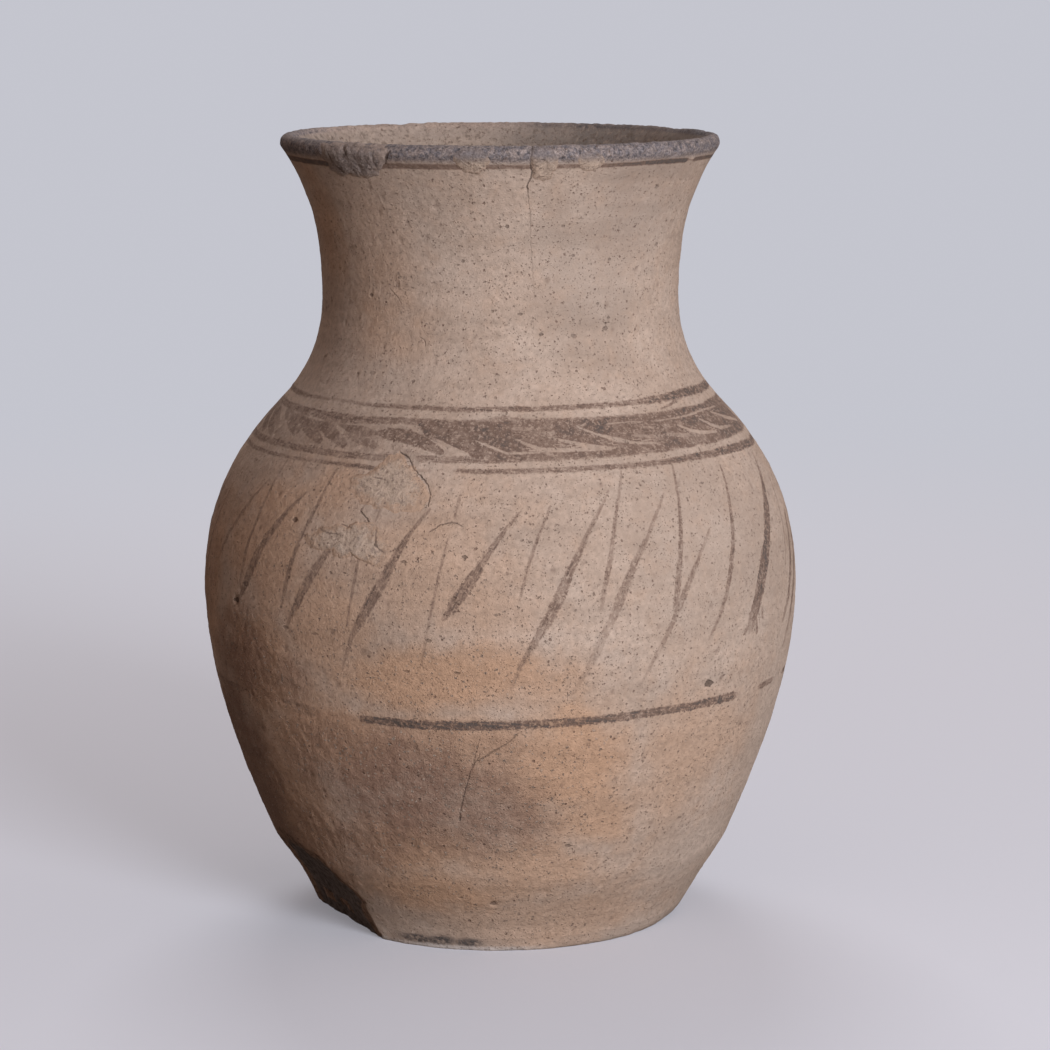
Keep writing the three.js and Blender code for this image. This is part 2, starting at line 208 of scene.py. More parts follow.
FINE_STROKES = [
    [(-54, 183, 0.5, 0.6), (-55.5, 165, 0.7, 0.7), (-57, 150, 0.9, 0.7),
     (-58, 136, 0.6, 0.5)],
    [(-37.8, 182, 0.55, 0.65), (-39.6, 168, 0.7, 0.8), (-41.2, 160, 0.8, 0.8),
     (-42.6, 150, 1, 0.85), (-43.3, 143, 1.2, 0.85), (-44.1, 136, 0.8, 0.6),
     (-44.9, 130, 0.5, 0.4)],
    [(-27, 156.5, 0.55, 0.75), (-27.8, 145, 0.65, 0.85), (-29, 129.5, 0.4, 0.6)],
    [(-29.2, 120.5, 0.5, 0.6), (-29.6, 116.5, 0.5, 0.55)],
    [(-28, 172, 0.4, 0.5), (-28.7, 169, 0.4, 0.5)],
    [(-46, 96.8, 0.9, 0.4), (-41, 96.2, 1.1, 0.5), (-38, 96, 0.7, 0.35)],
    [(-43.5, 93.6, 0.8, 0.4), (-38.6, 93.4, 0.9, 0.45)],
    [(-24, 172, 0.5, 0.55), (-25, 167, 0.5, 0.55)],
    [(-10, 162, 0.45, 0.65), (-11.8, 145, 0.55, 0.75), (-13.2, 130, 0.5, 0.65),
     (-14.5, 116, 0.4, 0.35)],
    [(-8.3, 176, 0.5, 0.75), (-9, 169, 0.5, 0.65)],
    [(9.8, 173, 0.45, 0.7), (6.9, 162, 0.6, 0.85), (5, 153, 0.6, 0.8), (3.4, 141, 0.45, 0.5)],
    [(26.5, 183, 0.4, 0.6), (23.6, 172, 0.7, 0.75), (21.5, 160.5, 0.7, 0.8),
     (20.2, 151, 1, 0.8), (19, 143, 1, 0.7), (18.3, 136, 0.6, 0.5)],
    [(40.2, 184, 0.45, 0.8), (38, 170, 0.7, 0.85), (36.2, 157.5, 0.95, 0.9),
     (34.7, 146, 1.25, 0.85), (33.8, 138, 1.3, 0.8), (33.5, 133.8, 0.9, 0.65)],
    [(55.3, 181, 0.5, 0.75), (52.6, 167.5, 0.8, 0.95), (50.6, 157, 1.1, 1.05),
     (48.4, 146, 1.2, 1), (46.2, 136, 0.95, 0.85), (44.2, 128.5, 0.95, 0.85),
     (41.6, 121, 0.4, 0.55)],
    [(58, 128, 0.5, 0.8), (58.4, 124.6, 0.8, 0.85)],
    [(56, 124.5, 0.7, 0.85), (56.3, 119.2, 0.75, 0.8)],
    [(53.6, 123.5, 0.9, 0.95), (52, 120.6, 1, 1)],
    [(77.5, 172, 0.5, 0.5), (74.5, 156, 0.55, 0.65), (71, 140, 0.5, 0.5)],
    [(46.8, 202, 0.45, 0.8), (51, 202.9, 0.55, 0.9), (57, 204.4, 0.5, 0.9)],
]

# Feathers of the frieze, as short paths of azimuth, height, half width and ink.
FEATHERS = [
    [(-77, 197, 1.4, 0.66), (-70, 193.5, 1.4, 0.61)],
    [(-70, 198, 1.9, 0.71), (-63, 195.5, 2.7, 0.76), (-57.5, 192.6, 2, 0.71)],
    [(-62, 198.2, 1.9, 0.71), (-57, 196.2, 2.8, 0.76), (-51, 193.4, 2.5, 0.76),
     (-46.8, 191.2, 1.6, 0.71)],
    [(-54, 198.5, 1.9, 0.76), (-48, 196.2, 2.7, 0.81), (-43, 193.4, 2.5, 0.81),
     (-38.8, 191, 1.6, 0.76)],
    [(-46, 199, 1.8, 0.76), (-40, 197, 2.3, 0.76), (-33, 195.4, 1.9, 0.71)],
    [(-40, 194.8, 1.2, 0.56), (-35, 193.2, 2, 0.66), (-30.3, 191.6, 1.6, 0.61)],
    [(-31.6, 195.6, 0.9, 0.71), (-28, 195.9, 2.6, 0.81), (-23, 195.4, 3.1, 0.81),
     (-18.5, 193.6, 2.6, 0.79), (-13.8, 190.9, 1.5, 0.76)],
]

# Bare slashes left in the solid part of the frieze, as paths of azimuth, height, half width and strength.
SLASHES = [
    [(-16.6, 195.4, 0.3, 0.5), (-14, 193.8, 0.8, 0.9), (-11.4, 191.9, 1.3, 1),
     (-7.6, 190.2, 0.8, 0.9)],
    [(-6, 194.7, 0.3, 0.9), (-3.5, 193.4, 0.5, 1), (1.7, 190.6, 0.5, 1), (9, 190.9, 0.5, 0.9)],
    [(3.5, 195.2, 0.4, 0.8), (5.5, 193.9, 0.6, 0.9), (9.5, 191.6, 1, 1), (26, 190.8, 0.6, 0.9)],
    [(11.6, 195.5, 0.35, 0.9), (16.2, 193.8, 0.8, 0.9), (20.5, 192.2, 1, 1), (27, 191, 0.5, 0.9)],
    [(19.4, 198.4, 0.4, 0.8), (24, 195.6, 0.6, 0.9), (28.4, 193.6, 1.1, 1), (32.5, 192.2, 0.7, 0.9),
     (38.5, 191.4, 0.4, 0.8)],
    [(44, 193.6, 0.9, 0.5), (48, 192.8, 1, 0.6), (53, 192.2, 0.6, 0.5)],
    [(49, 196, 0.5, 0.9), (52, 193.9, 0.8, 1), (56, 192.4, 0.9, 1), (62.5, 191.6, 0.5, 0.9)],
    [(59, 196.8, 0.5, 0.9), (62.5, 193.9, 0.9, 1), (66, 192.2, 0.9, 1), (73, 191.6, 0.5, 0.8)],
    [(68, 197.6, 0.5, 0.9), (75, 194.3, 1, 1), (83, 191.6, 0.7, 0.9)],
    [(27.5, 198.9, 0.35, 0.8), (34, 199, 0.35, 0.8), (38, 198.6, 0.3, 0.6)],
    [(41, 198.4, 0.3, 0.6), (52, 198.4, 0.45, 0.9), (60, 198.6, 0.4, 0.9)],
    [(3.5, 198.6, 0.9, 0.6), (7, 198.4, 0.8, 0.6)],
    [(10.5, 197.1, 0.7, 0.6), (13, 196.9, 0.7, 0.6)],
    [(33, 194.6, 0.6, 0.5), (37, 193.7, 0.8, 0.6), (42, 193.3, 0.5, 0.5)],
    [(35, 197.6, 0.4, 0.4), (38.5, 196.6, 0.6, 0.5), (42, 196.2, 0.4, 0.4)],
    [(57, 198.8, 0.35, 0.8), (65, 199, 0.45, 0.9), (74, 198.6, 0.4, 0.8)],
    [(21.5, 199.4, 0.5, 0.7), (20.5, 198.9, 0.5, 0.7)],
    [(-59, 197.9, 0.4, 0.8), (-50, 197.6, 0.45, 0.8)],
    [(-41.5, 197.6, 0.35, 0.8), (-33, 198.1, 0.4, 0.9), (-28.7, 198.7, 0.35, 0.8),
     (-20, 198.6, 0.4, 0.8)],
]

# The solid part of the frieze, from its slanting left end, as height and azimuth, round to its right end.
FILL_LEFT_EDGE = [(187, -4), (190, -7.4), (193, -13.2), (196, -18.6), (199.3, -21), (203, -20.6)]
FILL_RIGHT_AZIMUTH = 86.0
FILL_LOW = 188.5
FILL_HIGH = 201.0
WASH_LOW = 188.0
WASH_HIGH = 199.5

# The painting goes on round the back in the same hand, from one azimuth to another.
BACK_FROM = 92.0
BACK_TO = 286.0
BACK_STROKE_STEP = 13.5
BACK_FEATHER_STEP = 8.0
BACK_SEED = 41

# Hairline cracks, as paths of azimuth, height, half width and depth.
CRACKS = [
    [(8.1, 300, 0.16, 0.8), (7.6, 296, 0.1, 0.65), (7.5, 293, 0.14, 0.75), (8.3, 290.2, 0.2, 0.9),
     (7.6, 287, 0.14, 0.8), (7.2, 284.6, 0.2, 0.95), (7.5, 282.6, 0.08, 0.5), (8.1, 278, 0.07, 0.4),
     (8.6, 273, 0.07, 0.34), (9.1, 264, 0.07, 0.3), (9.7, 255, 0.07, 0.27),
     (10.4, 244, 0.06, 0.2)],
    [(-23.2, 190.2, 0.12, 0.9), (-21.8, 189.3, 0.2, 0.95), (-20.3, 187.9, 0.1, 0.85),
     (-19.2, 185.4, 0.18, 0.9), (-17.6, 183.5, 0.08, 0.8), (-16.2, 181.6, 0.18, 0.9),
     (-15.1, 179.6, 0.08, 0.8), (-14.3, 176.4, 0.14, 0.85), (-14.6, 172.3, 0.06, 0.6)],
    [(-28, 181.2, 0.05, 0.5), (-26.3, 181, 0.15, 0.7), (-24.6, 180.9, 0.05, 0.5)],
    [(-37.2, 162.4, 0.15, 0.6), (-34.8, 161.2, 0.25, 0.7), (-32.2, 161.4, 0.15, 0.6)],
    [(-24.4, 164, 0.2, 0.7), (-24, 158.6, 0.3, 0.8), (-22.4, 156.6, 0.2, 0.7)],
    [(-3.4, 94, 0.04, 0.35), (-4.8, 84, 0.08, 0.45), (-5.3, 80, 0.2, 0.6), (-6.2, 75, 0.2, 0.6),
     (-7.3, 69, 0.2, 0.6), (-8.5, 60, 0.18, 0.6), (-8.7, 57.4, 0.35, 0.85)],
    [(3.4, 92.3, 0.1, 0.5), (1.8, 88.8, 0.12, 0.5), (-0.3, 86, 0.18, 0.55), (-2.6, 83.3, 0.2, 0.6),
     (-4.9, 80.6, 0.15, 0.55)],
    [(-13.5, 164.3, 0.12, 0.6), (-11.5, 167, 0.15, 0.65), (-8.7, 167.8, 0.15, 0.65),
     (-7.2, 166.3, 0.1, 0.6)],
    [(-28.6, 169.8, 0.15, 0.75), (-26.4, 166.6, 0.22, 0.8)],
    [(-32.5, 164.8, 0.1, 0.6), (-29.6, 163.8, 0.1, 0.6)],
    [(-36.5, 246.5, 0.06, 0.4), (-33.8, 243.6, 0.1, 0.45), (-32.4, 240.8, 0.06, 0.4)],
    [(-25.6, 229.4, 0.06, 0.4), (-23.6, 228.2, 0.14, 0.45), (-23.3, 225.8, 0.06, 0.4)],
    [(-48.6, 297.4, 0.1, 0.6), (-48, 295, 0.3, 0.8), (-48.8, 292.6, 0.1, 0.6)],
    [(-33, 297.5, 0.15, 0.7), (-33.6, 293.6, 0.35, 0.85), (-33.2, 290.6, 0.15, 0.7)],
    [(-28.4, 297.8, 0.15, 0.8), (-29.7, 295.2, 0.4, 0.95), (-30.6, 292.8, 0.15, 0.7)],
    [(-47.6, 291.8, 0.15, 0.7), (-46, 289.2, 0.3, 0.8)],
    [(-42.8, 298.4, 0.15, 0.7), (-41.8, 296.4, 0.35, 0.85), (-43.6, 294.4, 0.12, 0.6)],
]

# Dark spots where grit has burnt out or dirt has stuck: azimuth, height, half length, half width, ink.
SPOTS = [
    (-59.2, 130.8, 0.8, 0.9, 1), (42.7, 104.1, 0.9, 1.2, 0.95), (-44.3, 164.3, 0.3, 0.9, 0.8),
    (-2, 21, 0.5, 0.7, 0.75), (-10, 23.5, 0.2, 0.4, 0.6), (15, 45.5, 0.3, 0.6, 0.6),
    (1.9, 270.4, 0.3, 0.55, 0.75), (6, 238.3, 0.5, 0.45, 0.7), (-11.5, 257.5, 0.3, 0.4, 0.65),
    (-40, 215.4, 0.9, 0.7, 0.45), (-44.2, 243.4, 0.4, 0.5, 0.75), (-25.4, 213.6, 0.3, 0.5, 0.65),
    (34.2, 231.8, 0.5, 0.7, 0.6), (35.6, 235.6, 0.2, 0.4, 0.5), (22.8, 229.8, 0.8, 0.6, 0.5),
    (12.5, 230.8, 0.2, 0.5, 0.6), (31.5, 241.2, 0.5, 0.4, 0.55), (22.4, 259.2, 0.2, 0.45, 0.55),
    (35.2, 257.2, 0.2, 0.45, 0.6), (18.6, 270.2, 0.2, 0.5, 0.55), (48.8, 283.2, 0.6, 0.5, 0.55),
    (56.5, 261.2, 0.3, 0.55, 0.5), (46.6, 176.5, 0.3, 0.3, 0.6), (-6.6, 156, 0.35, 0.55, 0.75),
    (-18.2, 153.6, 0.3, 0.45, 0.65), (-33, 147.6, 0.3, 0.35, 0.65), (-30, 148.2, 0.25, 0.3, 0.6),
    (-12.9, 126, 0.4, 0.45, 0.6), (-8, 114.6, 0.5, 0.4, 0.65), (-25.3, 120.2, 1, 1.1, 0.3),
    (-43.3, 125.4, 0.7, 0.5, 0.55), (-36, 124.8, 0.5, 0.5, 0.5), (-55.8, 138, 0.8, 0.8, 0.45),
    (-17.3, 114.4, 0.4, 0.35, 0.6),
]

# Dents and bumps, one by one: azimuth, height, radius and depth, which is negative for a bump.
DENTS = [
    (121, 300, 9, 0.5), (101, 299.9, 6, 0.2), (-150, 299.9, 6, 0.4), (69.5, 295.8, 1.6, 0.5),
    (50, 296.7, 1.6, 0.55), (40, 296.4, 1.8, 0.5), (26, 298.2, 1.8, 0.5), (32, 298.8, 1.8, 0.5),
    (34, 295, 1.3, 0.4), (31.4, 297.2, 1.5, -0.35), (40.6, 298, 2.2, -0.4),
    (60.6, 293, 1.6, -0.5), (-52, 296, 2.2, -0.4), (25.4, 27, 1.6, 0.5), (-2, 21, 1.6, 0.5),
    (11.2, 25.6, 1.8, 0.5), (-59.2, 130.9, 2.4, 1.2), (-59.2, 128.2, 1.6, -0.4),
    (-44.3, 164.3, 1.6, 0.6), (42.7, 104.1, 1.9, 0.6),
]

# Clouds of colour: kind, azimuth, height, half width round the pot, half height, and strength. Some of
# them are in part painted light and shade, as marked.
SMOKE_AND_SHADE = 0
BLUSH = 1
PALE = 2
SOOT_AND_SHADE = 3
CLOUDS = [
    (SMOKE_AND_SHADE, -20, 64, 44, 28, 0.9), (SMOKE_AND_SHADE, -4, 58, 26, 20, 0.75), (SMOKE_AND_SHADE, -36, 74, 28, 24, 0.55),
    # The smoky clouds at -68 here and at -82 below are in part painted shade on the left side, which
    # faces away from the key lamp.
    (SMOKE_AND_SHADE, -10, 86, 30, 10, 0.3), (SMOKE_AND_SHADE, -34, 44, 26, 16, 0.6), (SMOKE_AND_SHADE, -68, 66, 24, 56, 0.95),
    (SMOKE_AND_SHADE, -60, 110, 30, 20, 0.85), (SMOKE_AND_SHADE, -48, 40, 22, 26, 0.5), (SMOKE_AND_SHADE, -44, 107, 14, 11, 0.5),
    (SMOKE_AND_SHADE, -82, 140, 14, 46, 0.35), (SMOKE_AND_SHADE, 150, 60, 60, 34, 0.8), (SMOKE_AND_SHADE, -130, 110, 46, 28, 0.5),
    (BLUSH, -12, 112, 52, 15, 0.95), (BLUSH, 14, 78, 30, 24, 0.95), (BLUSH, 20, 56, 18, 14, 0.8),
    (BLUSH, 42, 80, 34, 30, 0.5), (BLUSH, -18, 26, 40, 16, 0.95), (BLUSH, -22, 44, 38, 18, 0.95),
    (BLUSH, 4, 14, 60, 12, 0.5), (BLUSH, -52, 112, 30, 28, 0.95), (BLUSH, -50, 48, 32, 40, 0.8),
    (BLUSH, -46, 234, 22, 20, 0.5), (BLUSH, 0, 28, 26, 10, 0.7), (BLUSH, 4, 38, 36, 16, 0.7),
    (BLUSH, -14, 148, 44, 28, 0.45), (BLUSH, -50, 150, 26, 42, 0.7), (BLUSH, -36, 176, 20, 14, 0.6),
    (BLUSH, -40, 100, 22, 16, 0.6), (BLUSH, -34, 128, 30, 24, 0.7), (BLUSH, -36, 86, 36, 18, 0.95),
    (BLUSH, -8, 88, 32, 14, 0.8), (BLUSH, -40, 262, 18, 26, 0.55), (BLUSH, -74, 130, 16, 34, 0.65),
    (BLUSH, -64, 260, 14, 30, 0.6), (BLUSH, 110, 120, 50, 30, 0.5), (BLUSH, -160, 90, 60, 30, 0.6),
    # The pale clouds at -62 on the shoulder's left, and at 76 and 60 on the right side, are in part
    # painted light where those sides catch more light.
    (PALE, -40, 270, 24, 22, 0.5), (PALE, -62, 222, 26, 34, 1), (PALE, -55, 132, 10, 10, 0.5),
    (PALE, -24, 176, 12, 10, 0.6), (PALE, 76, 84, 24, 48, 0.9), (PALE, 60, 34, 26, 14, 0.9),
    (PALE, 56, 152, 34, 36, 0.25), (PALE, -30, 10, 40, 8, 0.4), (PALE, -18, 0.3, 30, 2.2, 1),
    (PALE, -38, 4, 5, 5, 0.9), (SOOT_AND_SHADE, 34, 262, 34, 38, 0.26), (SOOT_AND_SHADE, 50, 157, 46, 36, 0.16),
    (SOOT_AND_SHADE, -26, 3.3, 10, 2.2, 1), (SOOT_AND_SHADE, -18, 3.5, 7, 2.6, 1), (SOOT_AND_SHADE, -10, 3.1, 6, 2.2, 1),
    # The dark grey at -68 is in part painted shade on the left side, and the dark grey at 72 is painted
    # shade under the foot's worn, rounded right edge.
    (SOOT_AND_SHADE, -68, 60, 24, 54, 0.3), (SOOT_AND_SHADE, 72, 2, 14, 3, 0.5),
]

# The same for painted shade on the inside of the mouth at the back right, kept with the dark grey clouds.
# On the outside it fades down to a share between these heights.
MOUTH_SHADE_OVER_LIP = (291, 297.5)
MOUTH_SHADE_BELOW_LIP = 0.25
MOUTH_SHADE_CLOUDS = [
    (SOOT_AND_SHADE, 150, 288, 34, 24, 1),
    (SOOT_AND_SHADE, 126, 292, 46, 20, 0.78),
]

# Lime crusts: the solid that each stands for, its thickness, how much it folds, and its outline as
# azimuths and heights.
CRUSTS = [
    ("upper_lime_patch", "shoulder_crust_upper", 1, 0, [
        (-34.5, 180), (-31.8, 176.5), (-28, 172), (-23.3, 171.2), (-18, 170.6), (-15.2, 172.4),
        (-14.5, 176.6), (-16.6, 181.4), (-20, 186.4), (-23, 189.8), (-26, 188.9), (-27.4, 185.6),
        (-29.5, 182), (-32.5, 181.6)]),
    ("lower_lime_patch", "shoulder_crust_lower", 1, 0, [
        (-40.8, 158.4), (-38.5, 155.4), (-33.7, 155.6), (-28.8, 154.8), (-25.8, 152.6), (-22.6, 151.4),
        (-20.8, 154), (-20.4, 158.2), (-23, 162.3), (-24.8, 166.4), (-28, 166.3), (-31, 163.9),
        (-35, 163.4), (-38.4, 161.4)]),
    ("lip_lime_left", "rim_crust_left", 1.8, 0.6, [
        (-51.5, 298), (-53, 294.4), (-51.4, 291.8), (-49.6, 288.8), (-47, 287.2), (-43.8, 288.8),
        (-39.9, 287.8), (-36.1, 288.2), (-34, 289.2), (-32.4, 291.6), (-30.4, 294.4), (-28.2, 297.2),
        (-30, 299), (-36, 299.2), (-44, 299.2)]),
    ("lip_lime_centre", "rim_crust_centre", 1.4, 0.3, [
        (-10.6, 297.6), (-11.8, 294.4), (-10, 291.4), (-7.4, 289.8), (-5, 290.4), (-3.2, 292.6),
        (-2.4, 295.4), (-3.4, 298), (-6.6, 298.8)]),
    ("lip_lime_crack", "rim_crust_crack", 1.3, 0.5, [
        (8.6, 299.4), (8.4, 292), (8.8, 288.9), (11.4, 286.8), (13.6, 287.6), (13.8, 290.6),
        (14.8, 294.8), (13.2, 298.6), (11, 299.6)]),
    ("lip_lime_right", "rim_crust_right", 0.9, 0.2, [
        (21.6, 297.4), (19.6, 294.6), (20.6, 291.8), (23.6, 290.6), (26.4, 291.4), (27.6, 293.4),
        (26.2, 296.4), (23.8, 297.8)]),
]
CRUST_RINGS = 30
CRUST_SPOKES = 150
CRUST_SINK = 0.7
CRUST_TOP_GAP = 0.15

# Layers of noise on the clay. Each layer has its height, its size and its salt.
UNEVENNESS = [(0.2, 46, 11), (0.09, 17, 12)]
WHEEL_MARKS = [(0.1, 8, 13), (0.07, 3.3, 14)]
GRAIN = [(0.07, 3.6, 15), (0.06, 1.7, 16)]
COARSE_GRAIN = [(0.22, 2.1, 17), (0.14, 4.6, 20)]
LIP_ROUGHNESS = [(0.15, 2.4, 18), (0.15, 1.3, 19)]
FOOT_NICKS = [(0.5, 6, 61), (0.5, 2.4, 62)]
BREAK_ROUGHNESS = [(0.7, 9, 51), (0.35, 3.2, 52), (0.2, 1.6, 53)]
RING_WANDER = [(0.22, 14, 71), (0.12, 5, 72)]
INK_CHANGES = [(0.2, 17, 83), (0.14, 6, 84)]
CLOUD_EDGES = [(0.35, 26, 91), (0.22, 9, 92), (0.12, 3.5, 93)]
CRUST_LUMPS = [(0.5, 5.2, 111), (0.3, 2.4, 112), (0.15, 1.2, 113)]

# Random seeds for pits, grit and the crusts' pores: the size of the cube that each has, and the salt.
PIT_SEEDS = (7.5, 21)
GRIT_SEEDS = (4.2, 31)
PORE_SEEDS = (3.2, 121)

# Dark specks in the clay, in three sizes: how close their cells are, their least and greatest radius in a
# cell, and the share of cells left empty.
SPECKS = [(0.34, 0.05, 0.17, 0.22), (0.75, 0.1, 0.26, 0.25), (1.5, 0.12, 0.32, 0.3)]

# Between which heights the lip's stain fades in, how far its ring wears, and between which distances to
# the side the left lump of lime turns into the others' look.
STAIN_HEIGHTS = (294.4, 297.4)
LIP_RING_WEAR = 0.4
LEFT_LIME = (-38.0, -30.0)

# Colours of small marks, that go with the clay whatever its own colour is. The pits' brown and the
# break's colours are in part painted shade, the lime's crest colour is a painted highlight, and its
# hollow colour is painted shade.
WHITE = (1.0, 1.0, 1.0)
FOOT_DUST = (0.6, 0.53, 0.5)
PALE_GRAIN = (0.57, 0.45, 0.37)
DARK_GRAIN = (0.155, 0.094, 0.071)
PIT_BROWN_AND_SHADE = (0.16, 0.105, 0.082)
CRACK_BROWN = (0.075, 0.05, 0.04)
LIP_PIT = (0.05, 0.043, 0.046)
INSIDE_CLAY = (0.3, 0.25, 0.215)
INSIDE_GRIME = (0.15, 0.108, 0.085)
BREAK_EDGE_SHADED = (0.3, 0.19, 0.135)
BREAK_CORE_SHADED = (0.17, 0.15, 0.148)
GREY_LIME = (0.325, 0.245, 0.2)
LIME_CREST_HIGHLIGHT = (0.54, 0.45, 0.385)
LIME_HOLLOW_SHADE = (0.2, 0.148, 0.122)
LIME_PORE = (0.16, 0.115, 0.095)
LIME_GRAIN = (0.13, 0.092, 0.076)
LIME_CRACK = (0.085, 0.058, 0.047)

# The stage, in metres: the floor's side, how far it glows by itself, and between which distances it turns
# even. Each lamp has its side, its place and its target.
FLOOR_SIDE = 60.0
FLOOR_GLOW = 0.3
FLOOR_EVEN_FROM = 0.35
FLOOR_EVEN_TO = 1.5
KEY_LAMP = (0.7, (0.85, -1.55, 0.62), (0, 0, 0.14))
BACK_LAMP = (0.9, (-0.1, 1.5, 1.6), (0, 0, 0.15))
SIDE_LAMP = (0.6, (1.5, 0.55, 0.45), (0, 0, 0.15))
SENSOR_WIDTH = 36


def length_property(name, description, default):
    """A property for a length in metres."""
    return FloatProperty(name=name, description=description, default=default, unit="LENGTH")


def slope_property(name, description, default):
    """A property for how much the radius grows with height."""
    return FloatProperty(name=name, description=description, default=default)


def colour_property(name, description, default):
    """A property for a colour."""
    return FloatVectorProperty(
        name=name, description=description, default=default, subtype="COLOR", size=3)


def power_property(name, description, default):
    """A property for a lamp's power in watts."""
    return FloatProperty(name=name, description=description, default=default, unit="POWER")


class PotOutline(bpy.types.PropertyGroup):
    """The driving sizes of the pot's outline."""

    height: length_property("Height", "From the foot to the crest of the lip", cad_high.z)
    foot_radius: length_property("Foot radius", "Radius of the flat foot", 0.0723)
    foot_slope: slope_property("Foot slope", "Growth of the radius with height at the foot", 0.15)
    foot_wall: length_property("Foot wall", "Thickness of the wall at the foot", 0.0085)
    flank_height: length_property("Flank height", "Height of the flank station", 0.033)
    flank_radius: length_property("Flank radius", "Radius at the flank station", 0.0892)
    flank_slope: slope_property("Flank slope", "Growth of the radius with height at the flank", 0.43)
    flank_wall: length_property("Flank wall", "Thickness of the wall at the flank", 0.0075)
    belly_height: length_property("Belly height", "Height of the widest part", 0.128)
    belly_radius: length_property("Belly radius", "Radius of the widest part", cad_high.x)
    belly_wall: length_property("Belly wall", "Thickness of the wall at the belly", 0.0065)
    shoulder_height: length_property("Shoulder height", "Height of the shoulder station", 0.197)
    shoulder_radius: length_property("Shoulder radius", "Radius at the shoulder station", 0.0858)
    shoulder_slope: slope_property(
        "Shoulder slope", "Growth of the radius with height at the shoulder", -0.96)
    shoulder_wall: length_property("Shoulder wall", "Thickness of the wall at the shoulder", 0.007)
    waist_height: length_property("Waist height", "Height of the neck's narrowest part", 0.2397)
    waist_radius: length_property("Waist radius", "Radius of the neck's narrowest part", 0.0679)
    waist_wall: length_property("Waist wall", "Thickness of the wall at the waist", 0.0065)
    mouth_radius: length_property("Mouth radius", "Widest radius of the lip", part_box("rim")[1].x)
    bead_radius: length_property("Lip bead radius", "Radius of the lip's round edge", 0.003)
    flare_slope: slope_property("Flare slope", "Growth of the radius with height under the lip", 0.68)
    columns: IntProperty(
        name="Columns", description="How many columns the grid has round the pot", default=840, min=60)


class PotFinish(bpy.types.PropertyGroup):
    """Colours of the clay, its paint and its stains."""

    buff: colour_property("Buff clay", "Colour of the clean fired clay", (0.448, 0.333, 0.265))
    blush: colour_property("Blush", "Colour of the orange fire blushes", (0.522, 0.325, 0.215))
    pale: colour_property("Pale clay", "Colour of the pale washed clay", (0.53, 0.415, 0.345))
    # The smoky colour is in part painted shade on the pot's left side.
    smoke_and_shade: colour_property("Smoke", "Colour of the brown smoke clouds", (0.305, 0.186, 0.135))
    # The dark grey colour serves for scuffs and grey clay, and for painted shade on the left side, under
    # the foot's right edge and inside the mouth.
    soot_and_shade: colour_property("Soot", "Colour of the dark grey scuffs", (0.1, 0.083, 0.078))
    paint: colour_property("Slip paint", "Colour of the thin brown slip painting", (0.188, 0.122, 0.094))
    thick_paint: colour_property(
        "Thick slip", "Colour of the painting where the slip lies thickest", (0.108, 0.086, 0.078))
    lip: colour_property("Lip", "Colour of the stained lip", (0.126, 0.119, 0.138))
    lime: colour_property("Lime crust", "Colour of the lime crust", (0.54, 0.41, 0.325))


class PotStudio(bpy.types.PropertyGroup):
    """The camera, the lamps and the floor."""

    camera_distance: length_property("Camera distance", "From the pot's axis to the camera", 1.322)
    camera_height: length_property("Camera height", "Height of the camera over the foot", 0.3718)
    camera_pitch: FloatProperty(
        name="Camera pitch", description="How far the camera looks down", default=math.radians(9.56),
        unit="ROTATION")
    camera_pan: FloatProperty(
        name="Camera pan", description="How far the camera turns to the right of the pot's axis",
        default=math.radians(0.408), unit="ROTATION")
    lens: FloatProperty(
        name="Lens", description="Focal length on a 36 mm sensor, in millimetres", default=118.8,
        unit="CAMERA")
    key_energy: power_property("Key lamp", "Power of the large lamp at the front right", 30.6)
    key_colour: colour_property("Key colour", "Colour of the front lamp's light", (0.96, 0.985, 1.03))
    back_energy: power_property("Back lamp", "Power of the lamp above and behind the pot", 15.5)
    side_energy: power_property("Side lamp", "Power of the weak lamp behind the pot's right side", 1.7)
    room_light: colour_property(
        "Room light", "Colour of the light that the room sends back", (0.25, 0.193, 0.17))
    floor: colour_property("Floor", "Colour of the pale floor", (0.555, 0.561, 0.62))
    floor_bounce: colour_property(
        "Floor bounce", "Colour of the light that the floor throws on the pot", (0.2, 0.17, 0.15))


def in_mm(metres):
    """A length in metres, as millimetres."""
    return metres / METRES


def ease(value, low, high):
    """Rises smoothly from 0 at low to 1 at high, as 3t^2 - 2t^3."""
    t = np.clip((value - low) / (high - low), 0, 1)
    return t * t * (3 - 2 * t)


def scramble(cells, salt):
    """A repeatable number from 0 to 1 for each whole-number cell: its coordinates are multiplied by large
    odd numbers, joined and folded on themselves."""
    cells = cells.astype(np.int64).astype(np.uint32)
    mixed = cells[..., 0] * np.uint32(0x27D4EB2D)
    mixed ^= cells[..., 1] * np.uint32(0x165667B1)
    mixed ^= cells[..., 2] * np.uint32(0x9E3779B1)
    mixed += np.uint32((salt * 0x85EBCA6B) & 0xFFFFFFFF)
    for shift, factor in ((15, 0x2C1B3C6D), (12, 0x297A2D39), (15, 0x85EBCA6B)):
        mixed ^= mixed >> np.uint32(shift)
        mixed *= np.uint32(factor)
    mixed ^= mixed >> np.uint32(16)
    return mixed / 2.0**32


def soft_noise(points, size, salt):
    """Smooth noise from -1 to 1: random values at the corners of cubes of that size, eased between."""
    place = points / size
    cell = np.floor(place)
    t = place - cell
    t = t * t * (3 - 2 * t)
    total = np.zeros(points.shape[:-1])
    for corner in itertools.product((0, 1), repeat=3):
        weight = np.prod(np.where(np.array(corner) == 1, t, 1 - t), axis=-1)
        total += weight * scramble(cell + np.array(corner), salt)
    return 2 * total - 1


